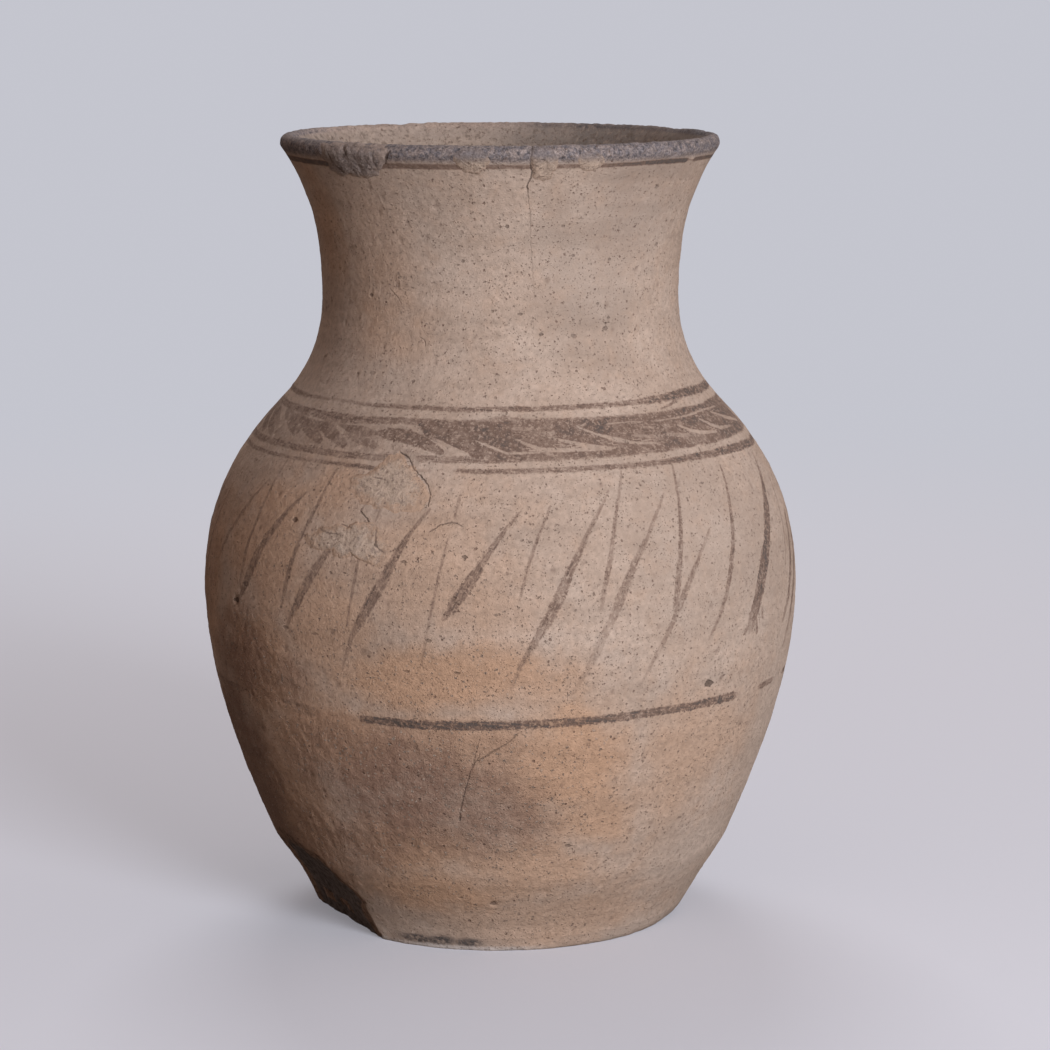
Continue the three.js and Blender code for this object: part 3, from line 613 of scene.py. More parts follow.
def layered_noise(points, layers):
    """The sum of layers of smooth noise, each as high as it says."""
    return sum(height * soft_noise(points, size, salt) for height, size, salt in layers)


def nearest_seed(points, size, salt):
    """The distance to the nearest of one random seed per cube of that size, and the seed's own number."""
    cell = np.floor(points / size)
    nearest = np.full(points.shape[:-1], 1e9)
    number = np.zeros(points.shape[:-1])
    for step in itertools.product((-1, 0, 1), repeat=3):
        home = cell + np.array(step)
        jitter = np.stack([scramble(home, salt + axis) for axis in range(3)], axis=-1)
        distance = np.linalg.norm(points - (home + jitter) * size, axis=-1)
        closer = distance < nearest
        nearest = np.where(closer, distance, nearest)
        number = np.where(closer, scramble(home, salt + 3), number)
    return nearest, number


def pot_stations(shape):
    """The stations of the outline, as rows of height, radius, slope and wall."""
    flare = math.atan(shape.flare_slope)
    bead = in_mm(shape.bead_radius)
    lip_height = in_mm(shape.height) - bead * (1 + math.sin(flare))
    lip_radius = in_mm(shape.mouth_radius) - bead * (1 - math.cos(flare))
    return np.array([
        (0, in_mm(shape.foot_radius), shape.foot_slope, in_mm(shape.foot_wall)),
        (in_mm(shape.flank_height), in_mm(shape.flank_radius), shape.flank_slope,
         in_mm(shape.flank_wall)),
        (in_mm(shape.belly_height), in_mm(shape.belly_radius), 0, in_mm(shape.belly_wall)),
        (in_mm(shape.shoulder_height), in_mm(shape.shoulder_radius), shape.shoulder_slope,
         in_mm(shape.shoulder_wall)),
        (in_mm(shape.waist_height), in_mm(shape.waist_radius), 0, in_mm(shape.waist_wall)),
        (lip_height, lip_radius, shape.flare_slope, 2 * bead),
    ])


def wall_at(stations, height):
    """Radius, slope and wall at a height: a cubic between the stations on either side, which has their
    radii and slopes, and a straight line past the last station."""
    height = np.asarray(height, float)
    top = stations[-1]
    level = np.minimum(height, top[0])
    above = np.clip(np.searchsorted(stations[:, 0], level, side="right"), 1, len(stations) - 1)
    low = stations[above - 1]
    high = stations[above]
    span = high[..., 0] - low[..., 0]
    t = (level - low[..., 0]) / span
    radius = (
        (2 * t**3 - 3 * t**2 + 1) * low[..., 1]
        + (t**3 - 2 * t**2 + t) * span * low[..., 2]
        + (3 * t**2 - 2 * t**3) * high[..., 1]
        + (t**3 - t**2) * span * high[..., 2]
    )
    slope = (
        (6 * t**2 - 6 * t) * (low[..., 1] - high[..., 1]) / span
        + (3 * t**2 - 4 * t + 1) * low[..., 2]
        + (3 * t**2 - 2 * t) * high[..., 2]
    )
    wall = low[..., 3] + (high[..., 3] - low[..., 3]) * t
    return radius + top[2] * (height - level), slope, wall


def outer_radius(stations, height):
    """The radius of the wall's outside."""
    return wall_at(stations, height)[0]


def inner_radius(stations, height):
    """The outside's radius less the wall's level width: its thickness times the root of 1 + slope^2."""
    radius, slope, wall = wall_at(stations, height)
    return radius - wall * np.hypot(1, slope)


def middle_radius(stations, height):
    """Half way through the wall, where the joints run."""
    return (outer_radius(stations, height) + inner_radius(stations, height)) / 2


def skin_at(stations, shape, height):
    """Radius and slope of the skin, which is the wall with the lip's bead over it."""
    radius, slope, _ = wall_at(stations, height)
    bead = in_mm(shape.bead_radius)
    rise = np.clip(height - (in_mm(shape.height) - bead), -bead, 0.97 * bead)
    reach = np.sqrt(bead**2 - rise**2)
    on_lip = height > stations[-1][0]
    lip_radius = in_mm(shape.mouth_radius) - bead + reach
    return np.where(on_lip, lip_radius, radius), np.where(on_lip, -rise / reach, slope)


def even_heights(radius_at, stations, start, end, step):
    """Heights from start to end at even distances along the wall, about a step apart."""
    fine = np.linspace(start, end, 400)
    travel = np.hypot(np.diff(fine), np.diff(radius_at(stations, fine)))
    length = np.concatenate([[0], np.cumsum(travel)])
    count = max(1, int(round(length[-1] / step)))
    return np.interp(np.linspace(0, length[-1], count + 1), length, fine)


def wall_rows(stations, face, heights):
    """Rows on one side of the wall: radius, height, outward and upward parts of the normal, and face."""
    if face == OUTSIDE:
        radius, slope, _ = wall_at(stations, heights)
        out = 1 / np.hypot(1, slope)
        return np.stack([radius, heights, out, -slope * out, np.full_like(heights, face)], axis=-1)
    radius = inner_radius(stations, heights)
    slope = inner_radius(stations, heights + 0.5) - inner_radius(stations, heights - 0.5)
    out = 1 / np.hypot(1, slope)
    return np.stack([radius, heights, -out, slope * out, np.full_like(heights, face)], axis=-1)


def joint_rows(pairs):
    """Rows that stay where they are, at pairs of radius and height."""
    return np.array([(radius, height, 0, 0, JOINT) for radius, height in pairs], float)


def tongue_rows(stations, seam, lap):
    """The tongue on a course's top: the wall's middle, from the seam up to the lap's height."""
    top = seam + lap
    return joint_rows([(middle_radius(stations, seam), seam), (middle_radius(stations, top), top)])


def rebate_rows(stations, seam, lap):
    """The rebate under a course: the tongue below it, moved out and up by the clearance."""
    ceiling = seam + lap + LAP_CLEARANCE
    return joint_rows([
        (middle_radius(stations, ceiling) + LAP_CLEARANCE, ceiling),
        (middle_radius(stations, seam) + LAP_CLEARANCE, seam),
    ])


def course_rows(stations, low, high, outer_step, inner_step):
    """A course's closed outline: up the outside, over the tongue, down the inside and round the rebate.
    low and high are the seams below and above it, each with its lap."""
    ceiling = low[0] + low[1] + LAP_CLEARANCE
    outside = even_heights(outer_radius, stations, low[0], high[0], outer_step)
    inside = even_heights(inner_radius, stations, high[0] + high[1], ceiling, inner_step)
    return np.concatenate([
        wall_rows(stations, OUTSIDE, outside),
        tongue_rows(stations, *high),
        wall_rows(stations, INSIDE, inside),
        rebate_rows(stations, *low),
    ])


def lip_rows(stations, shape, low):
    """The lip's closed outline: up the flare, round the bead and down inside the mouth."""
    bead = in_mm(shape.bead_radius)
    flare = math.atan(shape.flare_slope)
    centre_radius = in_mm(shape.mouth_radius) - bead
    centre_height = in_mm(shape.height) - bead
    outside = even_heights(outer_radius, stations, low[0], stations[-1][0], LIP_STEP)
    angles = np.linspace(-flare, math.pi - flare, int(round(math.pi * bead / LIP_STEP)) + 1)[1:]
    out, up = np.cos(angles), np.sin(angles)
    roll = np.stack([
        centre_radius + bead * out, centre_height + bead * up, out, up, np.full_like(angles, OUTSIDE),
    ], axis=-1)
    ceiling = low[0] + low[1] + LAP_CLEARANCE
    inside = even_heights(inner_radius, stations, roll[-1][1], ceiling, 2 * LIP_STEP)[1:]
    return np.concatenate([
        wall_rows(stations, OUTSIDE, outside),
        roll,
        wall_rows(stations, INSIDE, inside),
        rebate_rows(stations, *low),
    ])


def slab_rows(stations, shape, high):
    """The foot slab's outline from the axis, out under the foot, up its edge and in over its floor."""
    foot = in_mm(shape.foot_radius)
    rings = int(foot / FLOOR_STEP)
    under = [(foot * i / rings, 0, 0, -1, OUTSIDE) for i in range(1, rings)]
    under += [(foot - inset, 0, 0, -1, OUTSIDE) for inset in FOOT_EDGE_INSETS]
    edge = wall_rows(stations, OUTSIDE, np.linspace(0, high[0], FOOT_EDGE_ROWS))
    floor_height = high[0] + high[1]
    rim = middle_radius(stations, floor_height)
    floor = [(rim * (1 - i / rings), floor_height, 0, 1, INSIDE) for i in range(1, rings)]
    return np.concatenate([np.array(under, float), edge, tongue_rows(stations, *high), np.array(floor)])


class Skin:
    """The grid of one course: rows of an outline turned round the axis in even columns."""

    def __init__(self, rows, columns):
        self.radius, self.height, out, up, self.face = rows.T
        self.azimuth = np.linspace(-math.pi, math.pi, columns, endpoint=False)
        self.stretch = np.hypot(1, up / np.where(np.abs(out) < 0.2, 0.2, out))
        self.shape = (len(rows), columns)
        sine = np.sin(self.azimuth)
        cosine = -np.cos(self.azimuth)
        self.points = np.stack([
            self.radius[:, None] * sine, self.radius[:, None] * cosine,
            np.repeat(self.height[:, None], columns, axis=1),
        ], axis=-1)
        self.normals = np.stack([
            out[:, None] * sine, out[:, None] * cosine, np.repeat(up[:, None], columns, axis=1),
        ], axis=-1)

    def rows_on(self, *faces):
        """Which rows lie on any of these faces."""
        return np.isin(self.face, faces)

    def arc_from(self, azimuth):
        """Arc lengths round the pot to every point from an azimuth in degrees."""
        return turn_from(self.azimuth, math.radians(azimuth))[None, :] * self.radius[:, None]


def turn_from(azimuth, middle):
    """The turn from one azimuth to others, the short way round, in radians."""
    return np.remainder(azimuth - middle + math.pi, 2 * math.pi) - math.pi


def bell(azimuth, middle, spread):
    """A bell curve round the pot, 1 at the middle and 1/e at the spread to either side, in degrees."""
    return np.exp(-((turn_from(azimuth, math.radians(middle)) / math.radians(spread)) ** 2))


def beside_path(turn, height, radius, stretch, path, reach):
    """How points lie beside one path of azimuth, height, half width and ink, whose azimuths are in
    radians from the same middle as the turns. Returns each point's signed distance across it, its half
    width there and its ink, and by itself the distance to the path's edge, negative inside.

    Each stretch is laid flat as arc lengths round the pot and along the wall, a point is projected on it,
    and the nearest edge wins. Past the path's end the half width shrinks as a circle's does."""
    shape = np.broadcast(turn, height, radius).shape
    best = np.full(shape, float(reach))
    values = np.zeros(shape + (3,))
    values[..., 0] = reach
    for start, end in zip(path[:-1], path[1:]):
        run = (end[0] - start[0]) * radius
        rise = (end[1] - start[1]) * stretch
        length = np.hypot(run, rise)
        beside = (turn - start[0]) * radius
        above = (height - start[1]) * stretch
        along = (beside * run + above * rise) / length
        offset = (run * above - rise * beside) / length
        share = np.clip(along / length, 0, 1)
        past = np.abs(along - share * length)
        half = start[2] + share * (end[2] - start[2])
        spare = np.hypot(offset, past) - half
        closer = spare < best
        best = np.where(closer, spare, best)
        ink = start[3] + share * (end[3] - start[3])
        rounded = np.sqrt(np.maximum(half**2 - past**2, 0))
        values = np.where(closer[..., None], np.stack([offset, rounded, ink], axis=-1), values)
    return values, best


def centred_path(mark):
    """A mark as an array with its azimuths in radians from its middle, and that middle."""
    path = np.array(mark, float)
    path[:, 0] = np.radians(path[:, 0])
    middle = path[:, 0].mean()
    path[:, 0] -= middle
    return path, middle


def nearest_mark(skin, marks, reach):
    """The values beside the nearest of the marks, and the distance to its edge, for a whole course."""
    field = np.zeros(skin.shape + (3,))
    field[..., 0] = reach
    gap = np.full(skin.shape, float(reach))
    outside = skin.rows_on(OUTSIDE)
    for mark in marks:
        path, middle = centred_path(mark)
        margin = path[:, 2].max() + reach
        turn = turn_from(skin.azimuth, middle)
        near = (skin.height > path[:, 1].min() - margin) & (skin.height < path[:, 1].max() + margin)
        rows = np.flatnonzero(near & outside)
        if not rows.size:
            continue
        spread = np.abs(path[:, 0]).max() + margin / skin.radius[rows].min()
        window = np.ix_(rows, np.flatnonzero(np.abs(turn) < spread))
        values, spare = beside_path(
            turn[window[1]], skin.height[rows][:, None], skin.radius[rows][:, None],
            skin.stretch[rows][:, None], path, reach)
        closer = spare < gap[window]
        field[window] = np.where(closer[..., None], values, field[window])
        gap[window] = np.minimum(spare, gap[window])
    field[gap > MARK_FADE, 1] = 0
    return field, gap


def crack_gape(cracks):
    """How deep a crack cuts in at each point, which only the dark ones do."""
    split = np.exp(-((cracks[..., 0] / 0.7) ** 2)) * (cracks[..., 1] > 0)
    return 0.7 * split * np.maximum(cracks[..., 2] - 0.45, 0)


def ring_field(skin, rings):
    """The same three values for rings: the height off the nearest ring, its half width and its ink."""
    field = np.zeros(skin.shape + (3,))
    gap = np.full(skin.shape, MARK_REACH)
    degrees = np.degrees(skin.azimuth)
    wander = layered_noise(skin.points, RING_WANDER)
    for ring in rings:
        azimuth, height, half, ink = np.array(ring, float).T
        centre = np.interp(degrees, azimuth, height, period=360)
        offset = skin.height[:, None] - centre[None, :] + wander
        width = np.interp(degrees, azimuth, half, period=360)[None, :]
        spare = np.abs(offset) - width
        closer = (spare < gap) & skin.rows_on(OUTSIDE)[:, None]
        gap = np.where(closer, spare, gap)
        strength = np.interp(degrees, azimuth, ink, period=360)[None, :]
        new = np.stack(np.broadcast_arrays(offset, width, strength), axis=-1)
        field = np.where(closer[..., None], new, field)
    field[gap > RING_FADE, 1] = 0
    return field


def back_stroke(rng, top, high, low, slant, half, ink):
    """A slanting stroke: thin where the brush lands, widest two thirds down, dry at its end."""
    lean = (high - low) * slant
    bow = rng.uniform(-1.2, 0.2)
    path = []
    for share, width, load in ((0, 0.3, 0.75), (0.2, 0.6, 0.9), (0.45, 0.95, 1), (0.7, 1.15, 1.05),
                               (0.88, 0.95, 0.85), (1, 0.6, 0.45)):
        azimuth = top - share * lean + 4 * share * (1 - share) * bow
        path.append((azimuth, high + share * (low - high), half * width, ink * load))
    return path


def back_strokes(rng):
    """Broad and fine strokes in turn, in the front's slant, for the part that the front's lists leave."""
    broad, fine = [], []
    for azimuth in np.arange(BACK_FROM, BACK_TO, BACK_STROKE_STEP):
        broad.append(back_stroke(
            rng, azimuth + rng.uniform(-1.5, 1.5), rng.uniform(170, 180), rng.uniform(106, 130),
            rng.uniform(0.26, 0.33), rng.uniform(1.2, 1.8), rng.uniform(0.8, 1.15)))
        fine.append(back_stroke(
            rng, azimuth + BACK_STROKE_STEP * rng.uniform(0.4, 0.55), rng.uniform(172, 184),
            rng.uniform(120, 140), rng.uniform(0.14, 0.2), rng.uniform(0.55, 0.8),
            rng.uniform(0.65, 1.0)))
    return broad, fine


def back_feathers(rng):
    """Feathers one after another round the back of the frieze, some of them running together."""
    feathers = []
    for azimuth in np.arange(BACK_FROM - 4, BACK_TO - 4, BACK_FEATHER_STEP):
        start = azimuth + rng.uniform(-0.8, 0.8)
        width = rng.uniform(1.7, 2.9)
        ink = rng.uniform(0.65, 0.85)
        feathers.append([
            (start - 3, 198.6, 0.8 * width, ink), (start + 1.5, 196.2, width, ink),
            (start + 6, 192.6, 0.9 * width, ink), (start + 11, 190.2, 0.6 * width, 0.9 * ink),
        ])
    return feathers


def frieze_field(skin, feathers):
    """Three values: the depth inside a feather or the solid part of the frieze, negative outside, then
    the strength of the thin wash between the borders, then the ink, which comes and goes slowly."""
    heights, azimuths = np.array(FILL_LEFT_EDGE).T
    left = np.radians(np.interp(skin.height, heights, azimuths))[:, None]
    right = math.radians(FILL_RIGHT_AZIMUTH)
    radius = skin.radius[:, None]
    from_left = (skin.azimuth[None, :] - left) * radius
    from_right = (right - skin.azimuth[None, :]) * radius
    from_edges = np.minimum(skin.height - FILL_LOW, FILL_HIGH - skin.height)[:, None]
    ragged = 0.5 * soft_noise(skin.points, 4, 81)
    solid = np.minimum(np.minimum(from_left, from_right), from_edges) + ragged
    values, gap = nearest_mark(skin, feathers, MARK_REACH)
    depth = np.maximum(solid, -gap)
    depth = np.where(skin.rows_on(OUTSIDE)[:, None], np.clip(depth, -3, 3), -3)
    wash = ease(skin.height, WASH_LOW, WASH_LOW + 1) * (1 - ease(skin.height, WASH_HIGH, WASH_HIGH + 1))
    wash = wash[:, None] * (0.7 + 0.3 * soft_noise(skin.points, 12, 82))
    ink = np.where(-gap > solid, 0.06 + values[..., 2], 0.93)
    ink += layered_noise(skin.points, INK_CHANGES)
    ink += 0.16 * bell(skin.azimuth, 66, 16)
    return np.stack([depth, wash, ink], axis=-1)


def cloud_field(skin):
    """Strengths of smoky, blush, pale and dark grey clouds, the smoky, pale and dark grey ones in part
    painted light and shade as the table says: each cloud is a round hill on the skin, its edge drawn in
    and out by noise."""
    clouds = np.zeros(skin.shape + (4,))
    ragged = layered_noise(skin.points, CLOUD_EDGES)
    # The painted shade in the mouth shows fully inside and only in part on the outside.
    over_the_lip = MOUTH_SHADE_BELOW_LIP + (1 - MOUTH_SHADE_BELOW_LIP) * ease(skin.height, *MOUTH_SHADE_OVER_LIP)
    in_mouth = np.where(skin.rows_on(OUTSIDE), over_the_lip, 1.0)[:, None]
    shares = [1.0] * len(CLOUDS) + [in_mouth] * len(MOUTH_SHADE_CLOUDS)
    for (kind, azimuth, height, wide, tall, strength), share in zip(CLOUDS + MOUTH_SHADE_CLOUDS, shares):
        distance = np.hypot(skin.arc_from(azimuth) / wide, ((skin.height - height) / tall)[:, None])
        hill = strength * (1 - ease(distance + ragged, 0.35, 1.35))
        clouds[..., kind] = np.maximum(clouds[..., kind], share * hill)
    return clouds


def spot_path(azimuth, height, half_length, half_width, ink):
    """A spot as a very short level crack."""
    turn = math.degrees(half_length / in_mm(bpy.context.scene.pot_outline.belly_radius))
    return [(azimuth - turn, height, half_width, ink), (azimuth + turn, height, half_width, ink)]


def small_relief(points):
    """How far the plain fired surface stands out at any points, and how deep in a pit each point is.

    The sum of slow unevenness, level wheel marks, grain, pits round random seeds and grit round
    others."""
    level = points * np.array([0.05, 0.05, 1.0])
    relief = layered_noise(points, UNEVENNESS)
    relief += layered_noise(level, WHEEL_MARKS)
    relief += layered_noise(points, GRAIN)
    distance, number = nearest_seed(points, *PIT_SEEDS)
    size = 0.6 + 1.1 * number
    pit = (1 - ease(distance, 0.25 * size, size)) * (number > 0.5)
    relief -= (0.08 + 0.3 * number) * pit
    distance, number = nearest_seed(points, *GRIT_SEEDS)
    grit = (1 - ease(distance, 0.1, 0.75 + 0.5 * number)) * (number > 0.55)
    relief += 0.16 * grit
    return relief, pit


def dent_relief(skin):
    """The listed dents and bumps: each a round bowl on the skin."""
    relief = np.zeros(skin.shape)
    for azimuth, height, radius, depth in DENTS:
        along = ((skin.height - height) * np.minimum(skin.stretch, 2))[:, None]
        distance = np.hypot(skin.arc_from(azimuth), along)
        relief -= depth * (1 - ease(distance, 0.15 * radius, radius))
    return relief


def worn_foot(skin):
    """How far the foot's sharp edge is worn back: small nicks all round, and at the right a worn slope
    that runs straight on from the flank above it."""
    worn = bell(skin.azimuth, WORN_AZIMUTH, WORN_SPREAD)
    nicks = 0.5 + layered_noise(skin.points, FOOT_NICKS)
    corner = np.clip(1 - skin.height / WORN_CORNER_HEIGHT, 0, 1)[:, None] ** 2
    slope = np.clip(1 - skin.height / WORN_SLOPE_HEIGHT, 0, 1)[:, None] ** 2
    return (0.2 + 0.95 * worn[None, :] + 0.45 * nicks) * corner + WORN_SLOPE_DEPTH * worn[None, :] * slope


def break_foot(points):
    """Moves what lies beyond the broken face back on to it, which is a hollow face of two slopes,
    roughened as broken clay is, and says how deep in the break each point is, from 0 to 1."""
    turn = math.radians(CHIP_AZIMUTH)
    across = np.array([math.sin(turn), -math.cos(turn)])
    reach = points[..., :2] @ across
    upper = np.maximum(points[..., 2] - CHIP_BEND_HEIGHT, 0)
    face = CHIP_DISTANCE + CHIP_LEAN * points[..., 2] + CHIP_UPPER_LEAN * upper
    face += layered_noise(points, BREAK_ROUGHNESS)
    excess = np.maximum(reach - face, 0)
    points[..., :2] -= excess[..., None] * across
    return np.where(excess > 0, 0.5 * ease(excess, 0, 0.5) + 0.5 * ease(excess, 1.2, 5.0), 0)


def shape_skin(skin):
    """The course's final points, and what the materials need to know at each of them."""
    relief, pit = small_relief(skin.points)
    outside = skin.rows_on(OUTSIDE)[:, None]
    clouds = cloud_field(skin)
    cracks, _ = nearest_mark(skin, CRACKS + [spot_path(*spot) for spot in SPOTS], MARK_REACH)
    coarse = np.clip(clouds[..., SMOKE_AND_SHADE] + 0.5 * clouds[..., BLUSH], 0, 1) * outside
    relief += coarse * layered_noise(skin.points, COARSE_GRAIN)
    relief -= crack_gape(cracks)
    relief += dent_relief(skin) * outside
    on_lip = ease(skin.height, 293.0, 295.0)[:, None]
    relief += layered_noise(skin.points, LIP_ROUGHNESS) * on_lip * outside
    moved = skin.rows_on(OUTSIDE, INSIDE)[:, None] * relief
    points = skin.points + moved[..., None] * skin.normals
    foot = worn_foot(skin)
    points[..., :2] *= (1 - foot * outside / np.maximum(skin.radius, 20)[:, None])[..., None]
    under = (skin.face == OUTSIDE)[:, None] & (points[..., 2] < 0)
    points[..., 2] = np.where(under, 0, points[..., 2])
    broken = break_foot(points)
    inside = np.broadcast_to(skin.rows_on(INSIDE)[:, None], skin.shape)
    return points, {
        "cracks": cracks,
        "rings": ring_field(skin, RINGS),
        "clouds": clouds,
        "wear": np.stack([pit, broken, inside], axis=-1),
    }


def painting(skin):
    """The brushwork on the belly and in the frieze, as mark fields."""
    rng = np.random.default_rng(BACK_SEED)
    broad, fine = back_strokes(rng)
    return {
        "other_rings": ring_field(skin, OTHER_RINGS),
        "broad_brush": nearest_mark(skin, BROAD_STROKES + broad, MARK_REACH)[0],
        "fine_brush": nearest_mark(skin, FINE_STROKES + fine, MARK_REACH)[0],
        "slashes": nearest_mark(skin, SLASHES, MARK_REACH)[0],
        "frieze": frieze_field(skin, FEATHERS + back_feathers(rng)),
    }


def grid_faces(rows, columns, closed):
    """Corner numbers of the quads between a grid's rows and columns. The columns always join up, and the
    rows do if the outline is closed."""
    first = np.arange(rows if closed else rows - 1)[:, None]
    across = np.arange(columns)[None, :]
    low = first * columns
    high = ((first + 1) % rows) * columns
    beside = (across + 1) % columns
    return np.stack([low + across, low + beside, high + beside, high + across], axis=-1).reshape(-1, 4)


def fan_faces(tip, ring, columns, turned=False):
    """Triangles from a tip to each step round a ring of points, whose first point's number is given.
    Turned, they face the other way."""
    across = np.arange(columns)
    low = ring + across
    high = ring + (across + 1) % columns
    return np.stack([np.full(columns, tip), *((high, low) if turned else (low, high))], axis=-1)


def write_mesh(name, points, faces, fields):
    """A mesh object of those points and faces, with each field as a point attribute."""
    mesh = bpy.data.meshes.new(name)
    mesh.from_pydata((points * METRES).tolist(), [], faces)
    for label, values in fields.items():
        width = values.shape[-1]
        kind = "FLOAT_COLOR" if width == 4 else "FLOAT_VECTOR"
        attribute = mesh.attributes.new(label, kind, "POINT")
        flat = np.ascontiguousarray(values, np.float32).ravel()
        attribute.data.foreach_set("color" if width == 4 else "vector", flat)
    mesh.polygons.foreach_set("use_smooth", np.ones(len(mesh.polygons), bool))
    mesh.update()
    thing = bpy.data.objects.new(name, mesh)
    bpy.context.scene.collection.objects.link(thing)
    return thing


def sharpen_joints(thing, skin):
    """Marks the rings where the wall turns into a joint as sharp, so that the skin shades on across."""
    mesh = thing.data
    columns = skin.shape[1]
    edges = np.zeros(len(mesh.edges) * 2, np.int32)
    mesh.edges.foreach_get("vertices", edges)
    row = edges.reshape(-1, 2) // columns
    joint = skin.face == JOINT
    beside_joint = joint | np.roll(joint, 1) | np.roll(joint, -1)
    inside_grid = row.max(axis=1) < len(joint)
    row = np.minimum(row, len(joint) - 1)
    sharp = (row[:, 0] == row[:, 1]) & beside_joint[row[:, 0]] & inside_grid
    attribute = mesh.attributes.new("sharp_edge", "BOOLEAN", "EDGE")
    attribute.data.foreach_set("value", sharp)


def flattened(fields):
    """The fields with their rows and columns run together."""
    return {label: values.reshape(-1, values.shape[-1]) for label, values in fields.items()}


def make_wall(name, rows, node, material, painted):
    """One course of the pot as a piece that stands for its solid."""
    shape = bpy.context.scene.pot_outline
    skin = Skin(rows, shape.columns)
    points, fields = shape_skin(skin)
    if painted:
        fields.update(painting(skin))
    faces = grid_faces(*skin.shape, closed=True).tolist()
    thing = write_mesh(name, points.reshape(-1, 3), faces, flattened(fields))
    sharpen_joints(thing, skin)
    return dress(thing, node, material)


def dress(thing, node, material):
    """Gives a piece its material and its body, and hides the solid that it stands for."""
    thing.data.materials.append(material)
    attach(thing, BODY)
    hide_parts(node)
    return thing


def make_slab():
    """The foot slab: its outline starts and ends on the axis, where a fan of triangles closes it."""
    shape = bpy.context.scene.pot_outline
    stations = pot_stations(shape)
    seams = seam_heights()
    skin = Skin(slab_rows(stations, shape, seams["lower_body"]), shape.columns)
    points, fields = shape_skin(skin)
    spiral = skin.radius[:, None] / WIRE_PITCH + skin.azimuth[None, :] / (2 * math.pi)
    ridge = WIRE_RIDGE * np.cos(2 * math.pi * spiral)
    level = np.abs(skin.normals[..., 2]) > 0.9
    hidden = level & (skin.radius[:, None] < skin.radius.max() - FOOT_RING)
    lift = np.where(skin.face[:, None] == OUTSIDE, FOOT_HOLLOW + ridge, ridge)
    points[..., 2] += np.where(hidden, lift, 0)
    rows, columns = skin.shape
    centres = np.array([[0, 0, points[0, :, 2].mean()], [0, 0, points[-1, :, 2].mean()]])
    points = np.concatenate([points.reshape(-1, 3), centres])
    tip = rows * columns
    faces = grid_faces(rows, columns, closed=False).tolist()
    faces += fan_faces(tip, 0, columns, turned=True).tolist()
    faces += fan_faces(tip + 1, tip - columns, columns).tolist()
    fields = {
        label: np.concatenate([values, values[:1], values[-1:]])
        for label, values in flattened(fields).items()
    }
    thing = write_mesh("foot_slab", points, faces, fields)
    sharpen_joints(thing, skin)
    return dress(thing, "base_disc", clay_material("scuffed_foot_clay", scuffing=0.22))


def seam_heights():
    """Each seam's height, read from the solid above it, with its lap."""
    courses = ("lower_body", "belly", "shoulder", "neck", "rim")
    laps = (LAP_HEIGHT, LAP_HEIGHT, LAP_HEIGHT, LAP_HEIGHT, RIM_LAP_HEIGHT)
    return {node: (in_mm(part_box(node)[0].z), lap) for node, lap in zip(courses, laps)}


def crust_outline(outline, stations, shape):
    """A crust's middle and its edge: arc lengths to the outline's points, as a radius for each direction,
    rounded between them and made ragged by waves that don't repeat evenly."""
    azimuth, height = np.array(outline).T
    middle_azimuth = math.radians((azimuth.min() + azimuth.max()) / 2)
    middle_height = (height.min() + height.max()) / 2
    across = (np.radians(azimuth) - middle_azimuth) * skin_at(stations, shape, middle_height)[0]
    above = height - middle_height
    angle = np.arctan2(above, across)
    order = np.argsort(angle)
    spokes = np.linspace(-math.pi, math.pi, CRUST_SPOKES, endpoint=False)
    edge = np.interp(spokes, angle[order], np.hypot(across, above)[order], period=2 * math.pi)
    ripple = 0.03 * np.sin(11 * spokes + 1.3) + 0.02 * np.sin(23 * spokes)
    return middle_azimuth, middle_height, spokes, edge * (1.16 + ripple)


def crust_lumps(base, folding):
    """Lumps on a crust from about -1 to 1, with folds that run up and down where it is folded, and how
    deep in a pore each point is."""
    lumps = layered_noise(base, CRUST_LUMPS)
    folds = 0.3 * soft_noise(base * np.array([1, 1, 0.35]), 1.9, 114) + 0.15 * soft_noise(base, 0.9, 116)
    distance, number = nearest_seed(base, *PORE_SEEDS)
    pores = (1 - ease(distance, 0.2, 0.9)) * (number > 0.4)
    return (1 - 0.2 * folding) * lumps + folding * folds, pores


def crust_cracks(azimuth, height, radius, slope):
    """The crack values on a crust, since the clay's cracks run on through it."""
    cracks = np.zeros(height.shape + (3,))
    gap = np.full(height.shape, MARK_REACH)
    stretch = np.hypot(1, np.clip(slope, -2, 2))
    for mark in CRACKS:
        path, middle = centred_path(mark)
        turn = turn_from(azimuth, middle)
        values, spare = beside_path(turn, height, radius, stretch, path, MARK_REACH)
        cracks = np.where((spare < gap)[..., None], values, cracks)
        gap = np.minimum(spare, gap)
    cracks[gap > MARK_FADE, 1] = 0
    return cracks


def crust_faces(rings, columns):
    """Faces of a crust's top, its underside with a ring fewer, the strip that joins them at the edge, and
    the two fans at the middle, whose points come last."""
    count = rings * columns
    tip = count + (rings - 1) * columns
    across = np.arange(columns)
    beside = (across + 1) % columns
    edge = count - columns
    low_edge = tip - columns
    parts = (
        np.flip(grid_faces(rings, columns, closed=False), axis=1),
        grid_faces(rings - 1, columns, closed=False) + count,
        np.stack([low_edge + across, low_edge + beside, edge + beside, edge + across], axis=-1),
        fan_faces(tip, 0, columns),
        fan_faces(tip + 1, count, columns, turned=True),
    )
    return [face for part in parts for face in part.tolist()]


